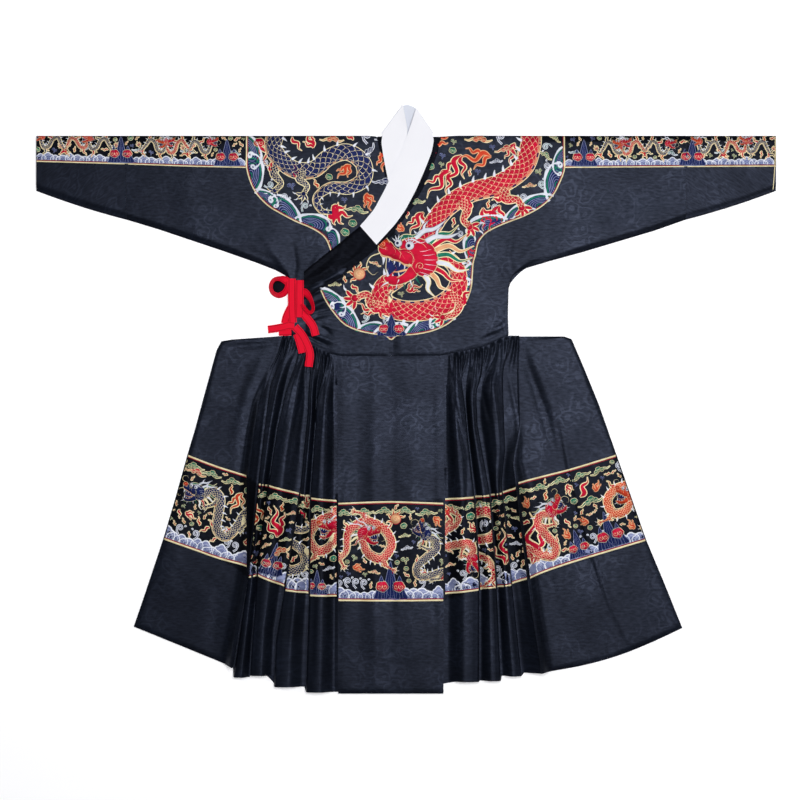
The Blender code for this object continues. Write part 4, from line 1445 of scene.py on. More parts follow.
# %% Paws and legs
def paw(thread, size):
    """Four toes spread from the wrist at the origin along X, each with a white claw."""
    corded = {"edge": "gold", "edge_width": 1.1}
    made = []
    for k in range(4):
        toe = scaled([(0, 0), (0.5, 0.06), (0.95, 0)], size)
        claw = scaled([(0.9, 0), (1.2, -0.03), (1.42, -0.22)], size)
        both = line(thread, toe, 0.3 * size, (0, 0.25), 0.7, 3, **corded)
        both += line("white", claw, 0.2 * size, (0.1, 0.95), 0.6, 3)
        made += moved(both, 0, 0, 1, -62 + 124 * k / 3)
    made += line(thread, scaled([(0, 0), (-0.35, 0.35)], size), 0.28 * size, (0, 0.5), 0.7, 3, **corded)
    return made + patch(thread, 0.3 * size * ring(45), 0.9, "gold", 1.2)


def leg(thread, points, width, size, fire="red"):
    """A leg from the body through its joints to the wrist, with its paw and a tuft of flames."""
    points = np.array(points, float)
    made = []
    elbow = points[1]
    turn = heading(elbow - points[-1]) - 90
    for lean, long in ((-28, 1.5), (8, 2.0), (40, 1.3)):
        made += moved(flame(fire, size * long, width * 0.45), *elbow, 1, turn + lean)
    widths = [width * share for share in (1, 0.9, 0.55, 0.42)]
    made += line(thread, points, widths, lift=0.85, columns=5, edge="gold", edge_width=1.6)
    path = curve(points, 3.0)
    way = lengths(path)
    half = np.interp(way / way[-1], [0, 0.33, 0.66, 1], [w / 2 for w in widths])
    made += scales(path, way, half, max(4.0, width * 0.3), 0.9, 1.0, weight=min(0.6, width / 30))
    return made + moved(paw(thread, size), *path[-1], 1, heading(path[-1] - path[-3]))


print("a leg has", len(leg("red", [(0, 0), (9, -9), (0, -20)], 9, 8)), "lines and patches")

# %% Shapes of the head
MANE = [
    ((40, 26), (70, 42), (92, 36), (116, 52)), ((44, 18), (76, 28), (100, 16), (128, 26)),
    ((46, 8), (74, 10), (98, -4), (124, 2)), ((46, -4), (72, -10), (92, -24), (116, -22)),
    ((40, -14), (62, -26), (78, -42), (102, -44)), ((30, -22), (48, -38), (56, -56), (78, -64)),
    ((34, 32), (58, 52), (80, 54), (98, 70)), ((22, -26), (32, -44), (30, -60), (44, -76)),
]
# Shapes of the head from back to front: thread, or None for the dragon's own, lift and outline
HEAD_SHAPES = [
    ("navy", 0.5, [
        (-52, 10), (-38, 4), (-20, -4), (-2, -14), (-8, -28), (-26, -32), (-44, -33), (-54, -18),
    ]),
    (None, 0.9, [
        (14, -14), (8, -32), (-8, -42), (-26, -48), (-42, -49), (-54, -43), (-60, -32), (-50, -29),
        (-38, -33), (-26, -30), (-14, -22), (-4, -10),
    ]),
    (None, 1.1, [
        (-16, 6), (-24, 22), (-22, 38), (-8, 47), (10, 47), (30, 40), (46, 25), (53, 6), (50, -14),
        (38, -30), (20, -33), (7, -26), (-3, -10),
    ]),
    (None, 1.3, [
        (0, -8), (2, 12), (-10, 24), (-24, 24), (-34, 29), (-42, 40), (-56, 44), (-67, 36), (-68, 22),
        (-60, 13), (-48, 9), (-38, 4), (-28, 1), (-16, -7),
    ]),
    ("orange", 1.6, [(-71, 34), (-68, 46), (-56, 50), (-46, 42), (-48, 32), (-58, 27)]),
]
# Teeth: x, y, how far each reaches and its width
TEETH = [
    (-58, 9, -15, 7), (-46, 6, -8, 4.8), (-36, 1, -8, 4.8), (-25, -3, -8, 4.8), (-15, -9, -8, 4.8),
    (-51, -31, 15, 6.5), (-40, -33, 8, 4.6), (-28, -30, 8, 4.6),
]
# Lines over them: thread, widths, tapers, lift, edge and points
HEAD_LINES = [
    ("peach", [8, 8, 6, 4, 2], (0, 0.2), 0.8, "red", [
        (0, -16), (-16, -19), (-34, -22), (-50, -17), (-46, -8),
    ]),
    ("peach", [3, 6, 4, 6, 3], (0.1, 0.2), 1.6, "gold", [
        (-66, 20), (-60, 12), (-48, 10), (-38, 3), (-26, 0), (-14, -9), (2, -14),
    ]),
    ("peach", [2, 5, 3], (0.2, 0.2), 1.1, "gold", [(-55, -31), (-41, -35), (-26, -31), (-13, -22)]),
    ("gold", [1.5], (0.2, 0.2), 1.6, None, [(-42, 34), (-33, 22), (-38, 12)]),
    ("gold", [1.5], (0.2, 0.2), 1.6, None, [(-31, 26), (-23, 16), (-26, 5)]),
    ("gold", [1.8], (0.2, 0.2), 1.6, None, [(-14, 20), (-2, 14), (4, 2), (0, -8)]),
    ("gold", [1.6], (0.2, 0.2), 1.5, None, [(8, 38), (22, 34), (32, 24)]),
    ("green", [4, 9, 7, 3], (0.1, 0.5), 1.6, "gold", [(-32, 40), (-14, 50), (4, 50), (20, 58)]),
    ("white", [3, 6, 5, 2], (0.1, 0.5), 1.8, "navy", [(-12, 42), (4, 43), (18, 36), (34, 40)]),
    ("gold", [2.4, 2.2, 1.4], (0, 0.3), 1.2, None, [
        (-60, 48), (-78, 58), (-76, 76), (-58, 80), (-50, 70),
    ]),
    ("gold", [2.4, 2.2, 1.4], (0, 0.3), 1.2, None, [
        (-66, 18), (-86, 10), (-94, -10), (-82, -26), (-70, -20),
    ]),
]
HORNS = [((8, 46), (26, 60), (48, 64), (74, 82)), ((30, 38), (52, 48), (76, 46), (104, 56))]
print("lines on the head:", len(HEAD_LINES), "teeth:", len(TEETH))


# %% Head
def dragon_head(thread, mane=("red", "peach", "green", "white")):
    """The head from the side, looking left. Its neck joins at the right."""
    made = []
    for k, strand in enumerate(MANE if mane else ()):
        made += line(mane[k % len(mane)], strand, [10, 9, 6, 2], (0, 0.4), 0.7, edge="gold", edge_width=1.2)
    # the beard
    for k, turn in enumerate((206, 224, 242, 260, 278, 296)):
        way = towards(turn)
        root = np.array((-50 + 11 * k, -42 + 2.0 * k))
        hair = [root, root + 10 * way, root + 22 * way + (3, 0)]
        made += line(("white", "green")[k % 2], hair, 4.4, (0, 0.9), 0.8, 3)
    for shape, lift, outline in HEAD_SHAPES:
        made += patch(shape or thread, outline, lift, "gold", 1.7)
    for x, y, reach, width in TEETH:
        tooth = [(x, y), (x - 0.5, y + reach / 2), (x - 2, y + reach)]
        made += line("white", tooth, width, (0, 0.95), 1.7, 3)
    for colour, width, taper, lift, edge, points in HEAD_LINES:
        made += line(colour, points, width, taper, lift, 3.5, edge=edge, edge_width=0.9)
    # curls on nose and cheek
    for x, y, size, hand in ((-59, 37, 6, 1), (-50, 26, 4.5, -1), (16, -12, 9, -1)):
        made.append(strip("gold", spiral(size, 1.3, hand, 200, x, y), 0.9, 2.1))
    corded = {"edge": "navy", "edge_width": 0.7}
    for horn in HORNS:
        fork = [horn[1], np.add(horn[1], (2, 12)), np.add(horn[1], (12, 22))]
        made += line("white", horn, [12, 10, 7, 4], (0, 0.3), 1.4, 4, 5, **corded)
        made += line("white", fork, [7, 5, 2], (0, 0.6), 1.2, **corded)
    # white hairs behind the cheek
    for k, (x, y) in enumerate(((24, 18), (30, 10), (33, 1), (33, -8), (29, -17), (22, -24))):
        hair = [(x - 8, y), (x + 5, y + 1 - k), (x + 17, y + 5 - 3 * k)]
        made += line("white", hair, 3.6, (0.2, 0.9), 1.6, 4)
    # the eyes and their lashes
    for x, y, size, rays in ((-27, 37, 8.0, (64, 90, 116, 142)), (-4, 31, 9.5, (24, 50, 76, 102, 128))):
        for way in map(towards, rays):
            lash = [way * size * 0.8 + (x, y), way * size * 2.3 + (x + 2, y)]
            made += line("white", lash, 3.6, (0, 0.95), 2.0, 4)
        made += patch("white", size * ring(30) + (x, y), 2.0, "navy", 1.4)
        made += patch("navy", 0.42 * size * ring(30) + (x - 2, y), 2.5)
    return made


print("a dragon's head has", sum(len(faces) for _, _, faces, _ in dragon_head("red")), "faces")


# %% Body
def dragon(
    thread, spine, width, neck=0.8, tail=0.22, cell=10.0, tuft="red", spine_gap=27.0, cut_tail=False,
    net=0.56,
):
    """The body along its spine from neck to tail, with its belly on its right. neck and tail are
    shares of its width, cell is the size of its scales and net the weight of their lines."""
    path = curve(spine, 3.5)
    way = lengths(path)
    half = width / 2 * np.interp(way / way[-1], [0, 0.15, 0.62, 1], [neck, 1, 0.95, tail])

    def stops(at):
        return zip(*along_line(path, way, at), np.interp(at, way, half))
    made = []
    for p, a, o, h in stops(np.arange(spine_gap * 0.4, way[-1] - 8, spine_gap)):
        root = p + o * h
        tip = root + o * (0.34 * h + 4.5) + a * 0.3 * h
        fin = [root - o * 2, (root + tip) / 2 - a * 0.5, tip]
        made += line("white", fin, 0.28 * h + 1.6, (0, 0.95), 0.6, 3)
    if not cut_tail:
        turn = heading(path[-1] - path[-4]) - 90
        for lean, long in ((-62, 0.8), (-34, 1.05), (0, 1.35), (34, 1.05), (62, 0.8)):
            made += moved(flame(tuft, width * long, width * 0.36), *path[-2], 1, turn + lean)
    made += [strip("gold", path, half + 1.0 + 0.008 * width, 0.45), strip(thread, path, half, 1.0, 7)]
    side = outwards(path)[1]
    # the pale belly with its bands, and the gold line between it and the scales
    made.append(strip("peach", path - side * (half * 0.87)[:, None], half * 0.1, 0.85))
    for p, a, o, h in stops(np.arange(8, way[-1] - 8, 0.55 * width)):
        band = np.array([p - a * 0.11 * width, p + a * 0.11 * width]) - o * h * 0.87
        made.append(strip("navy", band, 0.11 * h, 1.05))
    made.append(strip("gold", path - side * (half * 0.74)[:, None], 0.6, 1.05))
    # scales leave the left side free, so they are worked in a mirror
    return made + moved(scales(path * (-1, 1), way, half, cell, 1.0, weight=net), 0, 0, mirror=True)


short_dragon = dragon("red", [(0, 0), (90, 9), (180, 0)], 20)
print("a dragon's body has", len(short_dragon), "lines and patches")

# %% [markdown]
# ## Sew the motifs on
# Each place on the robe has its own cloth to land on and its own edges. What runs past an edge is
# cut there, as the real cloth runs on under the next fold or panel.

# %% Places to sew on
def beside(table, shift=0.0):
    """The x of a line on the page at each y, moved sideways by shift."""
    x, y = np.array(sorted(table, key=lambda point: point[1]), float).T
    return lambda at: np.interp(at, y, x + shift)


def upright(x):
    """A line straight up the page."""
    return [(x, 0), (x, 1)]


COLLAR_LEFT_LINE = [
    (-227, 0), (-227, 293), (-203, 317), (-165, 346), (-136, 365), (-99, 398), (-66, 435), (-43, 478),
    (-33, 502), (-43, 551), (-49, 591), (-50, 620),
]
COLLAR_RIGHT_LINE = [
    (-243, 0), (-243, 228), (-203, 254), (-142, 288), (-79, 339), (-43, 372), (-17, 404), (8, 436),
    (32, 481), (55, 532), (68, 568), (73, 620),
]


def landing(*names):
    """One tree of faces of these cloths to drop stitches on."""
    corners, faces = [], []
    for mesh in (CLOTHS[name].data for name in names):
        start = len(corners)
        corners += [vertex.co.copy() for vertex in mesh.vertices]
        faces += [[start + k for k in face.vertices] for face in mesh.polygons]
    return BVHTree.FromPolygons(corners, faces)


CHEST = COLLAR_BORDER_LEFT + COLLAR_BORDER_RIGHT
# Each place's cloth, and the lines on the left and right where its stitches are cut
PLACES = {
    "sleeve_left": (landing("front_right", "sleeve_left"), None, None),
    "sleeve_right": (landing("front_left", "sleeve_right"), None, None),
    "chest_left": (landing("front_right", "sleeve_left"), None, beside(COLLAR_LEFT_LINE)),
    "chest_right": (landing("front_left", "front_overlap", "sleeve_right"), beside(COLLAR_RIGHT_LINE), None),
    "fin_left": (landing("fin_left"), beside(FIN_LEFT_EDGE, 2.5), beside(LEFT_FOLDS[0], -4)),
    "fin_right": (landing("fin_right"), beside(RIGHT_FOLDS[0], 4), beside(FIN_RIGHT_EDGE, -2.5)),
    "panel": (landing("skirt_panel"), beside(upright(PANEL_LEFT), 2.5), beside(upright(PANEL_RIGHT), -2.5)),
}
left_tree, right_tree = landing("pleats_left"), landing("pleats_right")
left_lines = [*LEFT_FOLDS, upright(PANEL_LEFT + 1)]
right_lines = [*RIGHT_FOLDS, upright(PANEL_RIGHT - 1)]
for k in range(4):
    PLACES[f"left_{k}"] = (left_tree, beside(left_lines[k + 1], 1.5), beside(left_lines[k + 2], -3))
for k in range(3):
    PLACES[f"right_{k}"] = (right_tree, beside(right_lines[k + 2], 3), beside(right_lines[k + 1], -1.5))
PLACES["right_3"] = (right_tree, beside(RIGHT_FOLDS[1], 2), beside(RIGHT_FOLDS[0], -4))
print("places to sew on:", len(PLACES))

# %% How a design is sewn on
# What is sewn so far, by robe or skirt and thread, and which cells of the page it covers
sewn = {}
covered = set()
CELL = 2.5
LEAST_FACE = 0.04


def kept_at(place, corner):
    """Which faces of a design lie inside the border of the cloud collar or of the knee band."""
    middle = corner.mean(axis=1)
    if place.startswith("chest"):
        return inside(*middle.T, CHEST)
    if place in KNEE:
        top, low = (np.interp(middle[:, 0], *np.array(sorted(edge), float).T) for edge in KNEE[place])
        return (middle[:, 1] < top) & (middle[:, 1] > low)
    return np.ones(len(middle), bool)


def sew(place, design, *where, over=0.0, cut=True):
    """Moves a design, cuts it at the place's edges, drops it on the cloth and keeps it by thread."""
    if where:
        design = moved(design, *where)
    tree, left, right = PLACES[place]
    group = "robe" if place.startswith(("chest", "sleeve")) else "skirt"
    for thread, points, faces, flat in design:
        x, y = points[:, 0].copy(), np.minimum(points[:, 1], SHOULDER - 1.2)
        if left:
            x = np.maximum(x, left(y))
        if right:
            x = np.minimum(x, right(y))
        page = np.column_stack([x, y])
        corner = page[faces]
        ahead = np.roll(corner, -1, axis=1)
        twice = np.abs(np.sum(corner[..., 0] * ahead[..., 1] - ahead[..., 0] * corner[..., 1], axis=1))
        kept = 0.5 * twice > LEAST_FACE
        if cut:
            kept &= kept_at(place, corner)
        faces = faces[kept]
        if not len(faces):
            continue
        used = np.unique(faces)
        z = np.full(len(page), np.nan)
        for k in used:
            found = tree.ray_cast(Vector((x[k] * MM, y[k] * MM, 0.1)), Vector((0, 0, -1)))[0]
            if found:
                z[k] = found.z / MM
        faces = faces[~np.isnan(z[faces]).any(axis=1)]
        middles = page[faces].mean(axis=1)
        covered.update(zip(*np.rint(np.vstack([page[used], middles]) / CELL).astype(int).T.tolist()))
        laid = np.column_stack([page, z + points[:, 2] + over])
        sewn.setdefault((group, thread), []).append((laid, faces, flat))


def sew_all(place, over, *designs):
    """Sews designs at one place, each given with where it is moved."""
    for design, *where in designs:
        sew(place, design, *where, over=over)


def count_stitches():
    """Prints how much is sewn."""
    print("stitched so far:", sum(len(faces) for parts in sewn.values() for _, faces, _ in parts), "faces")


count_stitches()

# %% [markdown]
# An embroiderer leaves no large spot of such a band bare. So the ground between the large motifs
# is searched, and small flames, curls and clouds are set into it, in the widest places first.

# %% Small motifs for bare ground
# What draws each, its thread, its sizes as shares of the room, how far it is moved up, and what
# else its drawing is told
LARGE_FILLS = (
    (flame_branch, "red", (2.3, 0.5), -1, {}),
    (foam, "navy", (0.8,), 0.4, {}),
    (cloud, "green", (0.58,), 0, {}),
    (flame_branch, "orange", (2.2, 0.45), -1, {"edge": "peach"}),
    (cloud, "red", (0.58,), 0, {"tail_thread": "orange"}),
    (cloud, "navy", (0.58,), 0, {"edge": "white"}),
)
SMALL_FILLS = (
    (flame, "red", (2.3, 0.6), -1, {}),
    (sprig, "green", (1,), 0, {}),
    (flame, "orange", (2.2, 0.6), -1, {}),
    (flame, "red", (2.2, 0.5), -1, {}),
    (sprig, "navy", (1,), 0, {"edge": "lavender"}),
    (cloud_head, "green", (0.85,), 0, {}),
)
LARGE_ROOM = 13


def fill(place, outline, least=5.5, most=13.0):
    """Sets small motifs wherever the ground inside an outline still lies bare."""
    taken = KDTree(len(covered))
    for k, (a, b) in enumerate(sorted(covered)):
        taken.insert((a * CELL, b * CELL, 0), k)
    taken.balance()
    x, y = np.array(outline, float).T
    grid = np.stack(np.meshgrid(np.arange(x.min(), x.max(), 5.0), np.arange(y.min(), y.max(), 5.0)), axis=-1)
    grid = grid.reshape(-1, 2)
    grid += 2.0 * np.sin(grid[:, ::-1] * 1.7)
    grid = grid[inside(*grid.T, outline)]
    free = np.array([taken.find((a, b, 0))[2] for a, b in grid])
    spots = []
    for k in np.argsort(-free):
        room = min([free[k] - 1.0, most, *(math.hypot(*(grid[k] - (a, b))) - r for a, b, r in spots)])
        if free[k] < least:
            break
        if room < least:
            continue
        spots.append((*grid[k], room))
        pick = int(abs(grid[k][0] * 3 + grid[k][1] * 7)) % 6
        size = room * 0.92
        draw, thread, sizes, up, more = (LARGE_FILLS if room > LARGE_ROOM else SMALL_FILLS)[pick]
        motif = moved(draw(thread, *(size * share for share in sizes), **more), 0, up * size)
        # flames point anywhere, and the rest lean a little
        turn = (pick * 77 + k * 31) % 360 if pick in (0, 3) else k % 60 - 30
        sew(place, motif, *grid[k], 1, turn)
    print(place, "has", len(spots), "small motifs between the large ones")


print("small motifs for bare ground:", len(LARGE_FILLS) + len(SMALL_FILLS))

# %% [markdown]
# The cloud collar is bordered by a gold line with a thin red one inside it. Water runs along the
# border in fans of fine lines, each under a thick white crest that ends in a curl.

# %% Sew the cloud collar
def border(place, points):
    """A gold line on the border and a thin red one inside it."""
    path = np.array(points, float)
    inner = path + 2.7 * outwards(path)[1]
    sew(place, line("gold", path, 2.9, lift=0.9), over=0.3, cut=False)
    sew(place, line("red", inner, 1.5, lift=0.7), over=0.3, cut=False)


FAN = 40.0
FAN_SPACING = 63.0


def fan():
    """A fan of water lines on a border that runs along X, under a white crest with a curl."""
    angle = np.radians(np.linspace(180, 8, 13))

    def bow(share):
        far = share * FAN
        x = far * np.cos(angle) + 0.5 * far * np.sin(angle)
        return np.column_stack([x, 0.82 * far * np.sin(angle)])
    made = patch("navy", np.vstack([bow(0.93), [(0, 0)]]), 0.2)
    for share in (0.24, 0.36, 0.48, 0.60):
        made.append(strip("lavender", bow(share), 0.9, 0.4))
    made.append(strip("green", bow(0.75), 2.5, 0.5))
    made.append(strip("green", bow(0.13), 1.6, 0.5))
    crest = np.vstack([bow(0.92)[:11], spiral(FAN * 0.16, 1.1, -1, 60, FAN * 0.98, FAN * 0.3)])
    made.append(strip("white", crest, 2.8 + 1.0 * np.sin(np.arange(len(crest)) * 1.3), 0.9))
    return made


def water(place, points):
    """Fans along the inside of a border, with foam thrown up between them."""
    path = curve(points, 4.0)
    way = lengths(path)
    at = np.arange(FAN_SPACING * 0.5, way[-1] - FAN_SPACING * 0.25, FAN_SPACING)
    for k, (p, a, o) in enumerate(zip(*along_line(path, way, at))):
        sew(place, fan(), *(p + o * 3.5), 1.0 + 0.2 * math.sin(2.3 * k), heading(a), k % 2 == 1)
        high = p + o * (FAN * 1.05) + a * FAN_SPACING * 0.5
        sew(place, foam(("navy", "green")[k % 2], 8.5), *high, 1.0, heading(a), k % 3 == 1)


border("chest_left", COLLAR_BORDER_LEFT)
border("chest_right", COLLAR_BORDER_RIGHT)
water("chest_left", COLLAR_BORDER_LEFT)
water("chest_right", COLLAR_BORDER_RIGHT)
count_stitches()

# %% [markdown]
# Two large dragons fill the collar: a navy one over the wearer's right shoulder, and a red one
# that comes over the left shoulder and turns its head on the chest. What lies on top is sewn last.

# %% Sew the large dragons
NAVY_SPINE = [
    (-300, 616), (-304, 572), (-262, 530), (-214, 528), (-178, 556), (-136, 568), (-100, 544), (-98, 506),
    (-132, 486), (-176, 486), (-206, 462), (-196, 434), (-170, 428),
]
RED_SPINE = [
    (88, 330), (116, 300), (118, 256), (88, 220), (40, 204), (-12, 204), (-50, 222), (-52, 254), (-10, 288),
    (34, 338), (58, 394), (92, 440), (146, 474), (214, 494), (268, 532), (286, 580), (288, 620),
]
sew("chest_left", leg("navy", [(-292, 548), (-304, 520), (-288, 496), (-302, 480)], 22, 19))
sew("chest_left", dragon("navy", NAVY_SPINE, 38, neck=1.0, cell=13.0, net=0.6), over=0.5)
sew("chest_left", leg("navy", [(-232, 530), (-246, 508), (-228, 490), (-236, 472)], 20, 18), over=0.9)
# Each further motif with its x, y, size and turn
sew_all(
    "chest_left", 0.0,
    (cloud("green", 15), -112, 434, 1, -8),
    (cloud("orange", 15, "peach"), -168, 596),
    (cloud("navy", 15, edge="white"), -84, 566, 1, 70),
    (flame_branch("red", 62, 9), -330, 596, 1, 190),
    (flame("red", 40, 8), -262, 604, 1, 215),
    (cloud_head("red", 13), -338, 590),
    (cloud("peach", 7, "red"), -186, 358, 1, 35),
)
sew_all(
    "chest_right", 0.8,
    (leg("red", [(-42, 226), (-76, 216), (-90, 240), (-118, 232)], 28, 28),),
    (leg("red", [(222, 492), (230, 462), (256, 458), (266, 440)], 28, 26),),
    (dragon("red", RED_SPINE, 46, neck=0.7, tail=1.0, cell=13.0, cut_tail=True),),
)
sew_all(
    "chest_right", 1.4,
    (leg("red", [(122, 462), (140, 436), (132, 412), (146, 396)], 26, 26),),
    (leg("red", [(96, 244), (122, 222), (112, 196), (84, 188)], 24, 23),),
)
sew("chest_right", dragon_head("red"), 14, 318, 1.12, 2, over=2.2)
small_branch = flame_branch("red", 68, 12)
sew_all(
    "chest_right", 0.0,
    (pearl(14), -108, 288, 1, 20),
    (flame_branch("red", 84, 13), 128, 562, 1, 155),
    (flame_branch("red", 84, 12), 104, 524, 1, 138),
    (flame_branch("orange", 76, 11, "peach"), 196, 558, 1, 95),
    (flame_branch("red", 66, 11), 176, 440, 1, 205),
    (small_branch, 216, 446, 1.0, 160),
    (small_branch, 146, 350, 0.8, 200),
    (small_branch, -72, 196, 0.7, 60),
    (small_branch, 250, 590, 0.8, 170),
    (small_branch, 40, 430, 0.9, 150),
    (small_branch, 0, 250, 0.6, -70),
    (cloud("orange", 17, "peach"), 170, 596),
    (cloud("red", 14), 232, 574, 1, 12),
    (cloud("red", 13), 76, 366, 1, 60),
    (cloud("green", 11), 320, 560, 1, -30),
)
sew("chest_right", rock(50, 62), -34, 145, over=1.6)
left_ground = [(x, y) for x, y in CHEST if x < -160 and y > 330]
right_ground = [(x, min(y, 602)) for x, y in COLLAR_BORDER_RIGHT]
fill("chest_left", left_ground + [(-45, 500), (-50, 602), (-360, 602)], 9.0, 28.0)
fill("chest_right", [
    (-186, 254), *right_ground, (72, 602), (40, 480), (-30, 380), (-112, 296),
], 9.0, 28.0)
count_stitches()

# %% [markdown]
# A narrow band runs along each sleeve under the fold: waves on its low border, a rock in two
# places, and six small dragons that face each other in pairs between green clouds.

# %% Sew the sleeve bands
# A small dragon's spine, and the flames round it with their turns
BAND_SPINE = [(-28, 4), (-20, -12), (-8, -9), (0, 8), (11, 13), (19, 0), (28, -12), (37, 0)]
BAND_FLAMES = [
    (-22, -6, 230), (-12, -12, 160), (-2, 6, 40), (9, 14, -20), (18, 4, 210), (30, -10, 150),
    (24, -12, 250),
]


def band_dragon(k):
    """The dragon of a sleeve band, in the colours of its number along the band."""
    body = []
    for x, y, turn in BAND_FLAMES:
        body += moved(flame(("red", "navy", "orange", "red")[(k + x) % 4], 21, 4.6), x, y, 1, turn)
    body += dragon(("navy", "red", "navy")[k % 3], BAND_SPINE, 8.5, neck=0.7, cell=4.4, spine_gap=9, net=0.34)
    return body + moved(dragon_head(("red", "orange")[k % 2], ()), -30, 12, 0.22)


def sleeve_band(place, points, rocks, end):
    """The band of a sleeve over its low border, from its inner end at x out to the cuff."""
    x, y = np.array(points, float).T
    sew(place, line("gold", points, 2.8, lift=0.8), over=0.2)
    sew(place, line("red", [(a, b + 2.4) for a, b in points], 1.2, lift=0.6), over=0.2)
    sew(place, line("gold", [(end, 604), (end, 570), (end, 534)], 3.0, lift=0.8), over=0.2)
    for k, at in enumerate(np.arange(x.min() + 9, x.max() - 4, 17.0)):
        if all(abs(at - spot) > 20 for spot in rocks):
            wave = hump(27 + 5 * math.sin(2.7 * k), 13 + 3.5 * math.sin(1.9 * k))
            sew(place, wave, at, np.interp(at, x, y) + 4)
    for k, (gap, mirror) in enumerate(((104, 1), (152, 0), (206, 1), (330, 0), (386, 1), (440, 0))):
        spot = end + math.copysign(gap + 6, end)
        low = np.interp(spot, x, y)
        sew(place, band_dragon(k), spot, low + 44, 1, 8 * math.sin(2 * k), mirror, over=0.3)
    for spot in rocks:
        sew(place, rock(61, 54), spot, np.interp(spot, x, y) + 3, over=1.2)
    for gap in (22, 128, 240, 358):
        spot = end + math.copysign(gap + 6, end)
        high = np.interp(spot, x, y) + 30 + gap % 5
        sew(place, cloud("green", 9, edge="white"), spot, high, 1, gap % 20 - 10)


for place, points, rocks, end in (
    ("sleeve_left", SLEEVE_BAND[:4], (-656, -412), -367), ("sleeve_right", SLEEVE_BAND[4:], (409, 658), 364),
):
    sleeve_band(place, points, rocks, end)
    near, far = sorted((end, math.copysign(848, end)))
    fill(place, [*[(x, y + 16) for x, y in points], (far, 603), (near, 603)], 5.0, 8.5)
sew("sleeve_right", line("gold", [(849.4, 603), (848.6, 545), (844.5, 482)], 1.8))
count_stitches()

# %% [markdown]
# The knee band runs round the whole skirt. On the pleats it breaks at each fold, where the cloth
# turns under, and starts again on the next strip a little lower or higher.

# %% Sew the knee band
# The line of a coiled dragon and of one that runs in waves, each 1 long
COILED = [
    (0.3, 0.12), (0.2, -0.1), (0.02, -0.16), (-0.1, 0.02), (0.0, 0.22), (0.24, 0.32), (0.46, 0.18),
    (0.5, -0.08), (0.68, -0.2), (0.86, -0.08),
]
RUNNING = [
    (0.14, 0.14), (0.24, 0.26), (0.38, 0.2), (0.42, 0.0), (0.46, -0.2), (0.6, -0.26), (0.7, -0.1),
    (0.74, 0.1), (0.86, 0.22), (1.02, 0.08),
]


def small_dragon(thread, long, shape=COILED, head=True):
    """A dragon of the knee band, its head at the left."""
    spine = np.array(shape) * long - (0.3 * long, 0)

    def small_leg(root, elbow, wrist, fire="red"):
        return leg(thread, [spine[root], spine[root] + elbow, spine[root] + wrist], 9, 8, fire)
    made = small_leg(2, (-8, -14), (-20, -22), "orange") + small_leg(7, (10, -12), (4, -26))
    tuft = "orange" if thread == "red" else "red"
    made += dragon(thread, spine, 17, cell=5.0, tuft=tuft, spine_gap=13, net=0.36)
    made += small_leg(5, (6, 14), (20, 18))
    for at, turn in ((1, 150), (4, 60), (6, -20), (8, -100)):
        made += moved(flame(("red", "orange")[at % 2], 24, 5), *spine[at], 1, turn)
    if head:
        x, y = spine[0]
        made += moved(dragon_head(thread, ("gold", "red", "green", "white")), x - 12, y + 4, 0.36, 6)
    return made


def stops_along(edge, spacing):
    """Places along an edge of the knee band with their headings, and a number to vary them by."""
    path = curve(edge, 4.0)
    way = lengths(path)
    spots, ahead, _ = along_line(path, way, np.arange(spacing * 0.35, way[-1], spacing))
    return [(*p, heading(a), int(abs(p[0])) + k) for k, (p, a) in enumerate(zip(spots, ahead))]


def knee_band(place, top, low):
    """The band's borders, the waves over its low one and the clouds under its top one."""
    for edge, inwards in ((top, -1), (low, 1)):
        sew(place, line("gold", edge, 3.9, lift=0.9, step=6), over=0.2, cut=False)
        inner = [(x, y + inwards * 3.3) for x, y in edge]
        sew(place, line("red", inner, 1.6, lift=0.7, step=6), over=0.2, cut=False)
    for x, y, turn, seed in stops_along(low, 19.0):
        wave = hump(38 + 8 * math.sin(seed), 20 + 7 * math.sin(seed * 1.7))
        sew(place, wave, x, y + 5, 1, turn)
        if math.sin(2.1 * seed) > 0.5:
            sew(place, foam("navy", 9), x, y + 38 + seed % 8, 1, turn, seed % 2 == 0)
    for x, y, turn, seed in stops_along(top, 47.0):
        sew(place, cloud("green", 13.5), x, y - 21 - seed % 5, 1, turn + seed % 9, seed % 2 == 0)


for place, (top, low) in KNEE.items():
    knee_band(place, top, low)
count_stitches()

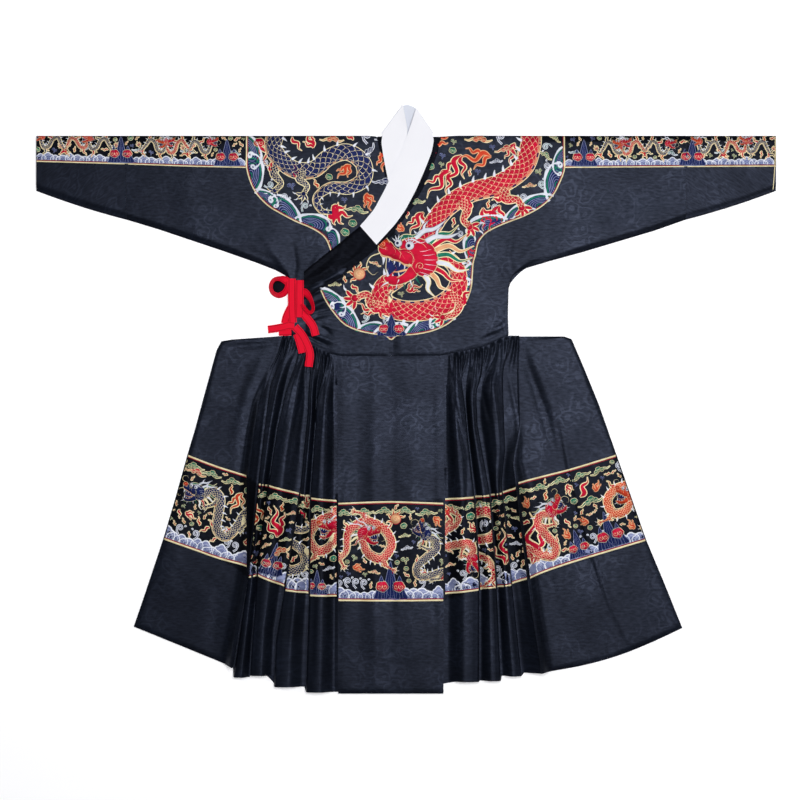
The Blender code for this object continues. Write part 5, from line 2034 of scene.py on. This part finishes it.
# %% Sew the motifs of the knee band
# Each with its x, y, size and turn, and True where it is mirrored
KNEE_MOTIFS = {
    "fin_left": [
        (small_dragon("navy", 140, RUNNING), -452, -258, 1.25, -17),
        (flame_branch("orange", 56, 9), -376, -216, 1, 150),
        (cloud("red", 14, "orange"), -482, -170, 1, -20),
    ],
    "left_0": [(flame_branch("orange", 70, 9), -344, -240, 1, 175)],
    "left_1": [
        (rock(76, 52), -314, -404, 1, -14),
        (flame_branch("red", 74, 13), -296, -318, 1, 6),
        (cloud("orange", 16, "peach"), -288, -352, 1, 30),
    ],
    "left_2": [(small_dragon("navy", 130, head=False), -250, -330, 1.25, 80)],
    "left_3": [
        (small_dragon("red", 130), -158, -322, 1.25),
        (rock(56, 44), -206, -448, 1, -2),
    ],
    "panel": [
        (small_dragon("red", 140), -104, -338, 1.25, 0, True),
        (small_dragon("navy", 130, RUNNING), 38, -350, 1.1, -58),
        (pearl(12), -24, -276),
        (rock(86, 70), -36, -460),
    ],
    "right_2": [
        (small_dragon("red", 120, RUNNING), 120, -350, 1.1, -70, True),
        (flame_branch("red", 66, 10), 106, -246, 1, 170),
    ],
    "right_1": [(small_dragon("red", 130, head=False), 178, -330, 1.4, 80, True)],
    "right_0": [(flame_branch("red", 84, 11), 228, -380, 1, 6)],
    "fin_right": [
        (flame_branch("red", 120, 18), 292, -380, 1, 4),
        (small_dragon("red", 130, RUNNING), 336, -300, 1.2, 50, True),
        (rock(64, 50), 404, -362, 1, 17),
        (rock(84, 66), 478, -340, 1, 17),
        (cloud("green", 17), 428, -236, 1, 24),
        (flame("red", 50, 12), 400, -226, 1, -20),
        (small_dragon("orange", 120), 520, -246, 1.2, -10),
    ],
}
for place, motifs in KNEE_MOTIFS.items():
    sew_all(place, 0.4, *motifs)
for place, (top, low) in KNEE.items():
    fill(place, [(x, y - 4) for x, y in top] + [(x, y + 24) for x, y in reversed(low)], 6.2, 14.0)
count_stitches()

# %% [markdown]
# Many thousand stitches would be slow to handle one by one. So all of one thread on robe or skirt
# become one mesh, with the points that no face uses left out.

# %% Make one piece of each thread
def embroidery(group, thread, parts):
    """Joins all stitches of one thread into one piece."""
    starts = np.cumsum([0, *(len(points) for points, _, _ in parts)])
    points = np.vstack([part[0] for part in parts])
    faces = np.vstack([part[1] + start for part, start in zip(parts, starts)])
    flat = np.vstack([part[2] for part in parts])
    used = np.unique(faces)
    new = np.zeros(len(points), int)
    new[used] = np.arange(len(used))
    corners = [[c for k, c in enumerate(face) if c != face[k - 1]] for face in new[faces].tolist()]
    mesh = bpy.data.meshes.new(f"stitched_{thread}_{group}")
    mesh.from_pydata((points[used] * MM).tolist(), [], corners)
    layer = mesh.uv_layers.new(name="UVMap")
    corner = np.empty(len(mesh.loops), np.int32)
    mesh.loops.foreach_get("vertex_index", corner)
    layer.data.foreach_set("uv", (flat[used][corner] * MM).ravel())
    mesh.materials.append(THREADS[thread])
    piece = bpy.data.objects.new(f"stitched_{thread}_{group}", mesh)
    bpy.context.scene.collection.objects.link(piece)
    mesh.shade_smooth()
    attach(piece, "root")
    return len(faces) * 2


total = sum(embroidery(group, thread, parts) for (group, thread), parts in sewn.items())
print("embroidery:", total, "triangles in", len(sewn), "pieces")


# %% [markdown]
# ## Fasten everything to the robe
# Each satin sheet takes the place of its solid, which is hidden, and the area of its cloth is
# printed beside that of its flat cut. All of it is one body, because cloth has no joints.

# %% Bodies and cuts
for name, piece in CLOTHS.items():
    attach(piece, "root")
    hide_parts(name)

# How each piece is held, the width and length of the flat cloth that shows and its area, in
# metres, and what it lies on
CUTS = {
    "front_right": ("laid", 0.80, 0.51, 0.261, ["back_left"]),
    "front_left": ("laid", 0.69, 0.51, 0.232, ["back_right"]),
    "front_overlap": ("laid", 0.20, 0.34, 0.048, ["front_right"]),
    "sleeve_left": ("laid", 0.21, 0.40, 0.068, []),
    "sleeve_right": ("laid", 0.21, 0.40, 0.068, []),
    "fin_left": ("laid", 0.35, 0.77, 0.129, ["fin_left_back"]),
    "fin_right": ("laid", 0.39, 0.78, 0.184, ["fin_right_back"]),
    "skirt_panel": ("laid", 0.25, 0.78, 0.192, ["back_left", "back_right"]),
    "pleats_left": ("folded", 0.46, 0.82, 0.313, ["back_left"]),
    "pleats_right": ("folded", 0.36, 0.80, 0.257, ["back_right"]),
    "back_left": ("laid", 0.61, 1.27, 0.448, []),
    "back_right": ("laid", 0.68, 1.27, 0.468, []),
    "fin_left_back": ("laid", 0.36, 0.76, 0.136, []),
    "fin_right_back": ("laid", 0.39, 0.77, 0.180, []),
    "collar_over": ("laid", 0.07, 0.49, 0.0275, ["front_left", "front_overlap"]),
    "collar_under": ("laid", 0.05, 0.10, 0.0037, ["front_right"]),
    "collar_back": ("laid", 0.12, 0.055, 0.0046, []),
    "collar_guard": ("folded", 0.065, 0.513, 0.0315, ["collar_over", "collar_under", "collar_back"]),
}
TAPES = {
    "tie_upper_loop_left": 0.145, "tie_upper_loop_right": 0.100, "tie_upper_strap_left": 0.101,
    "tie_upper_strap_right": 0.086, "tie_upper_tail": 0.064, "tie_upper_end": 0.050,
    "tie_lower_left": 0.062, "tie_lower_under": 0.029, "tie_lower_branch": 0.046, "tie_lower_tail": 0.103,
}
for name, (held, width, length, area, under) in CUTS.items():
    [CLOTHS[k] for k in under]

for name, piece in CLOTHS.items():
    area = sum(face.area for face in piece.data.polygons) / 2
    typed = CUTS[name][3] if name in CUTS else 0.018 * TAPES[name]
    print("cut", name, round(area, 4), "m2 of cloth for", round(typed, 4), "m2 flat")
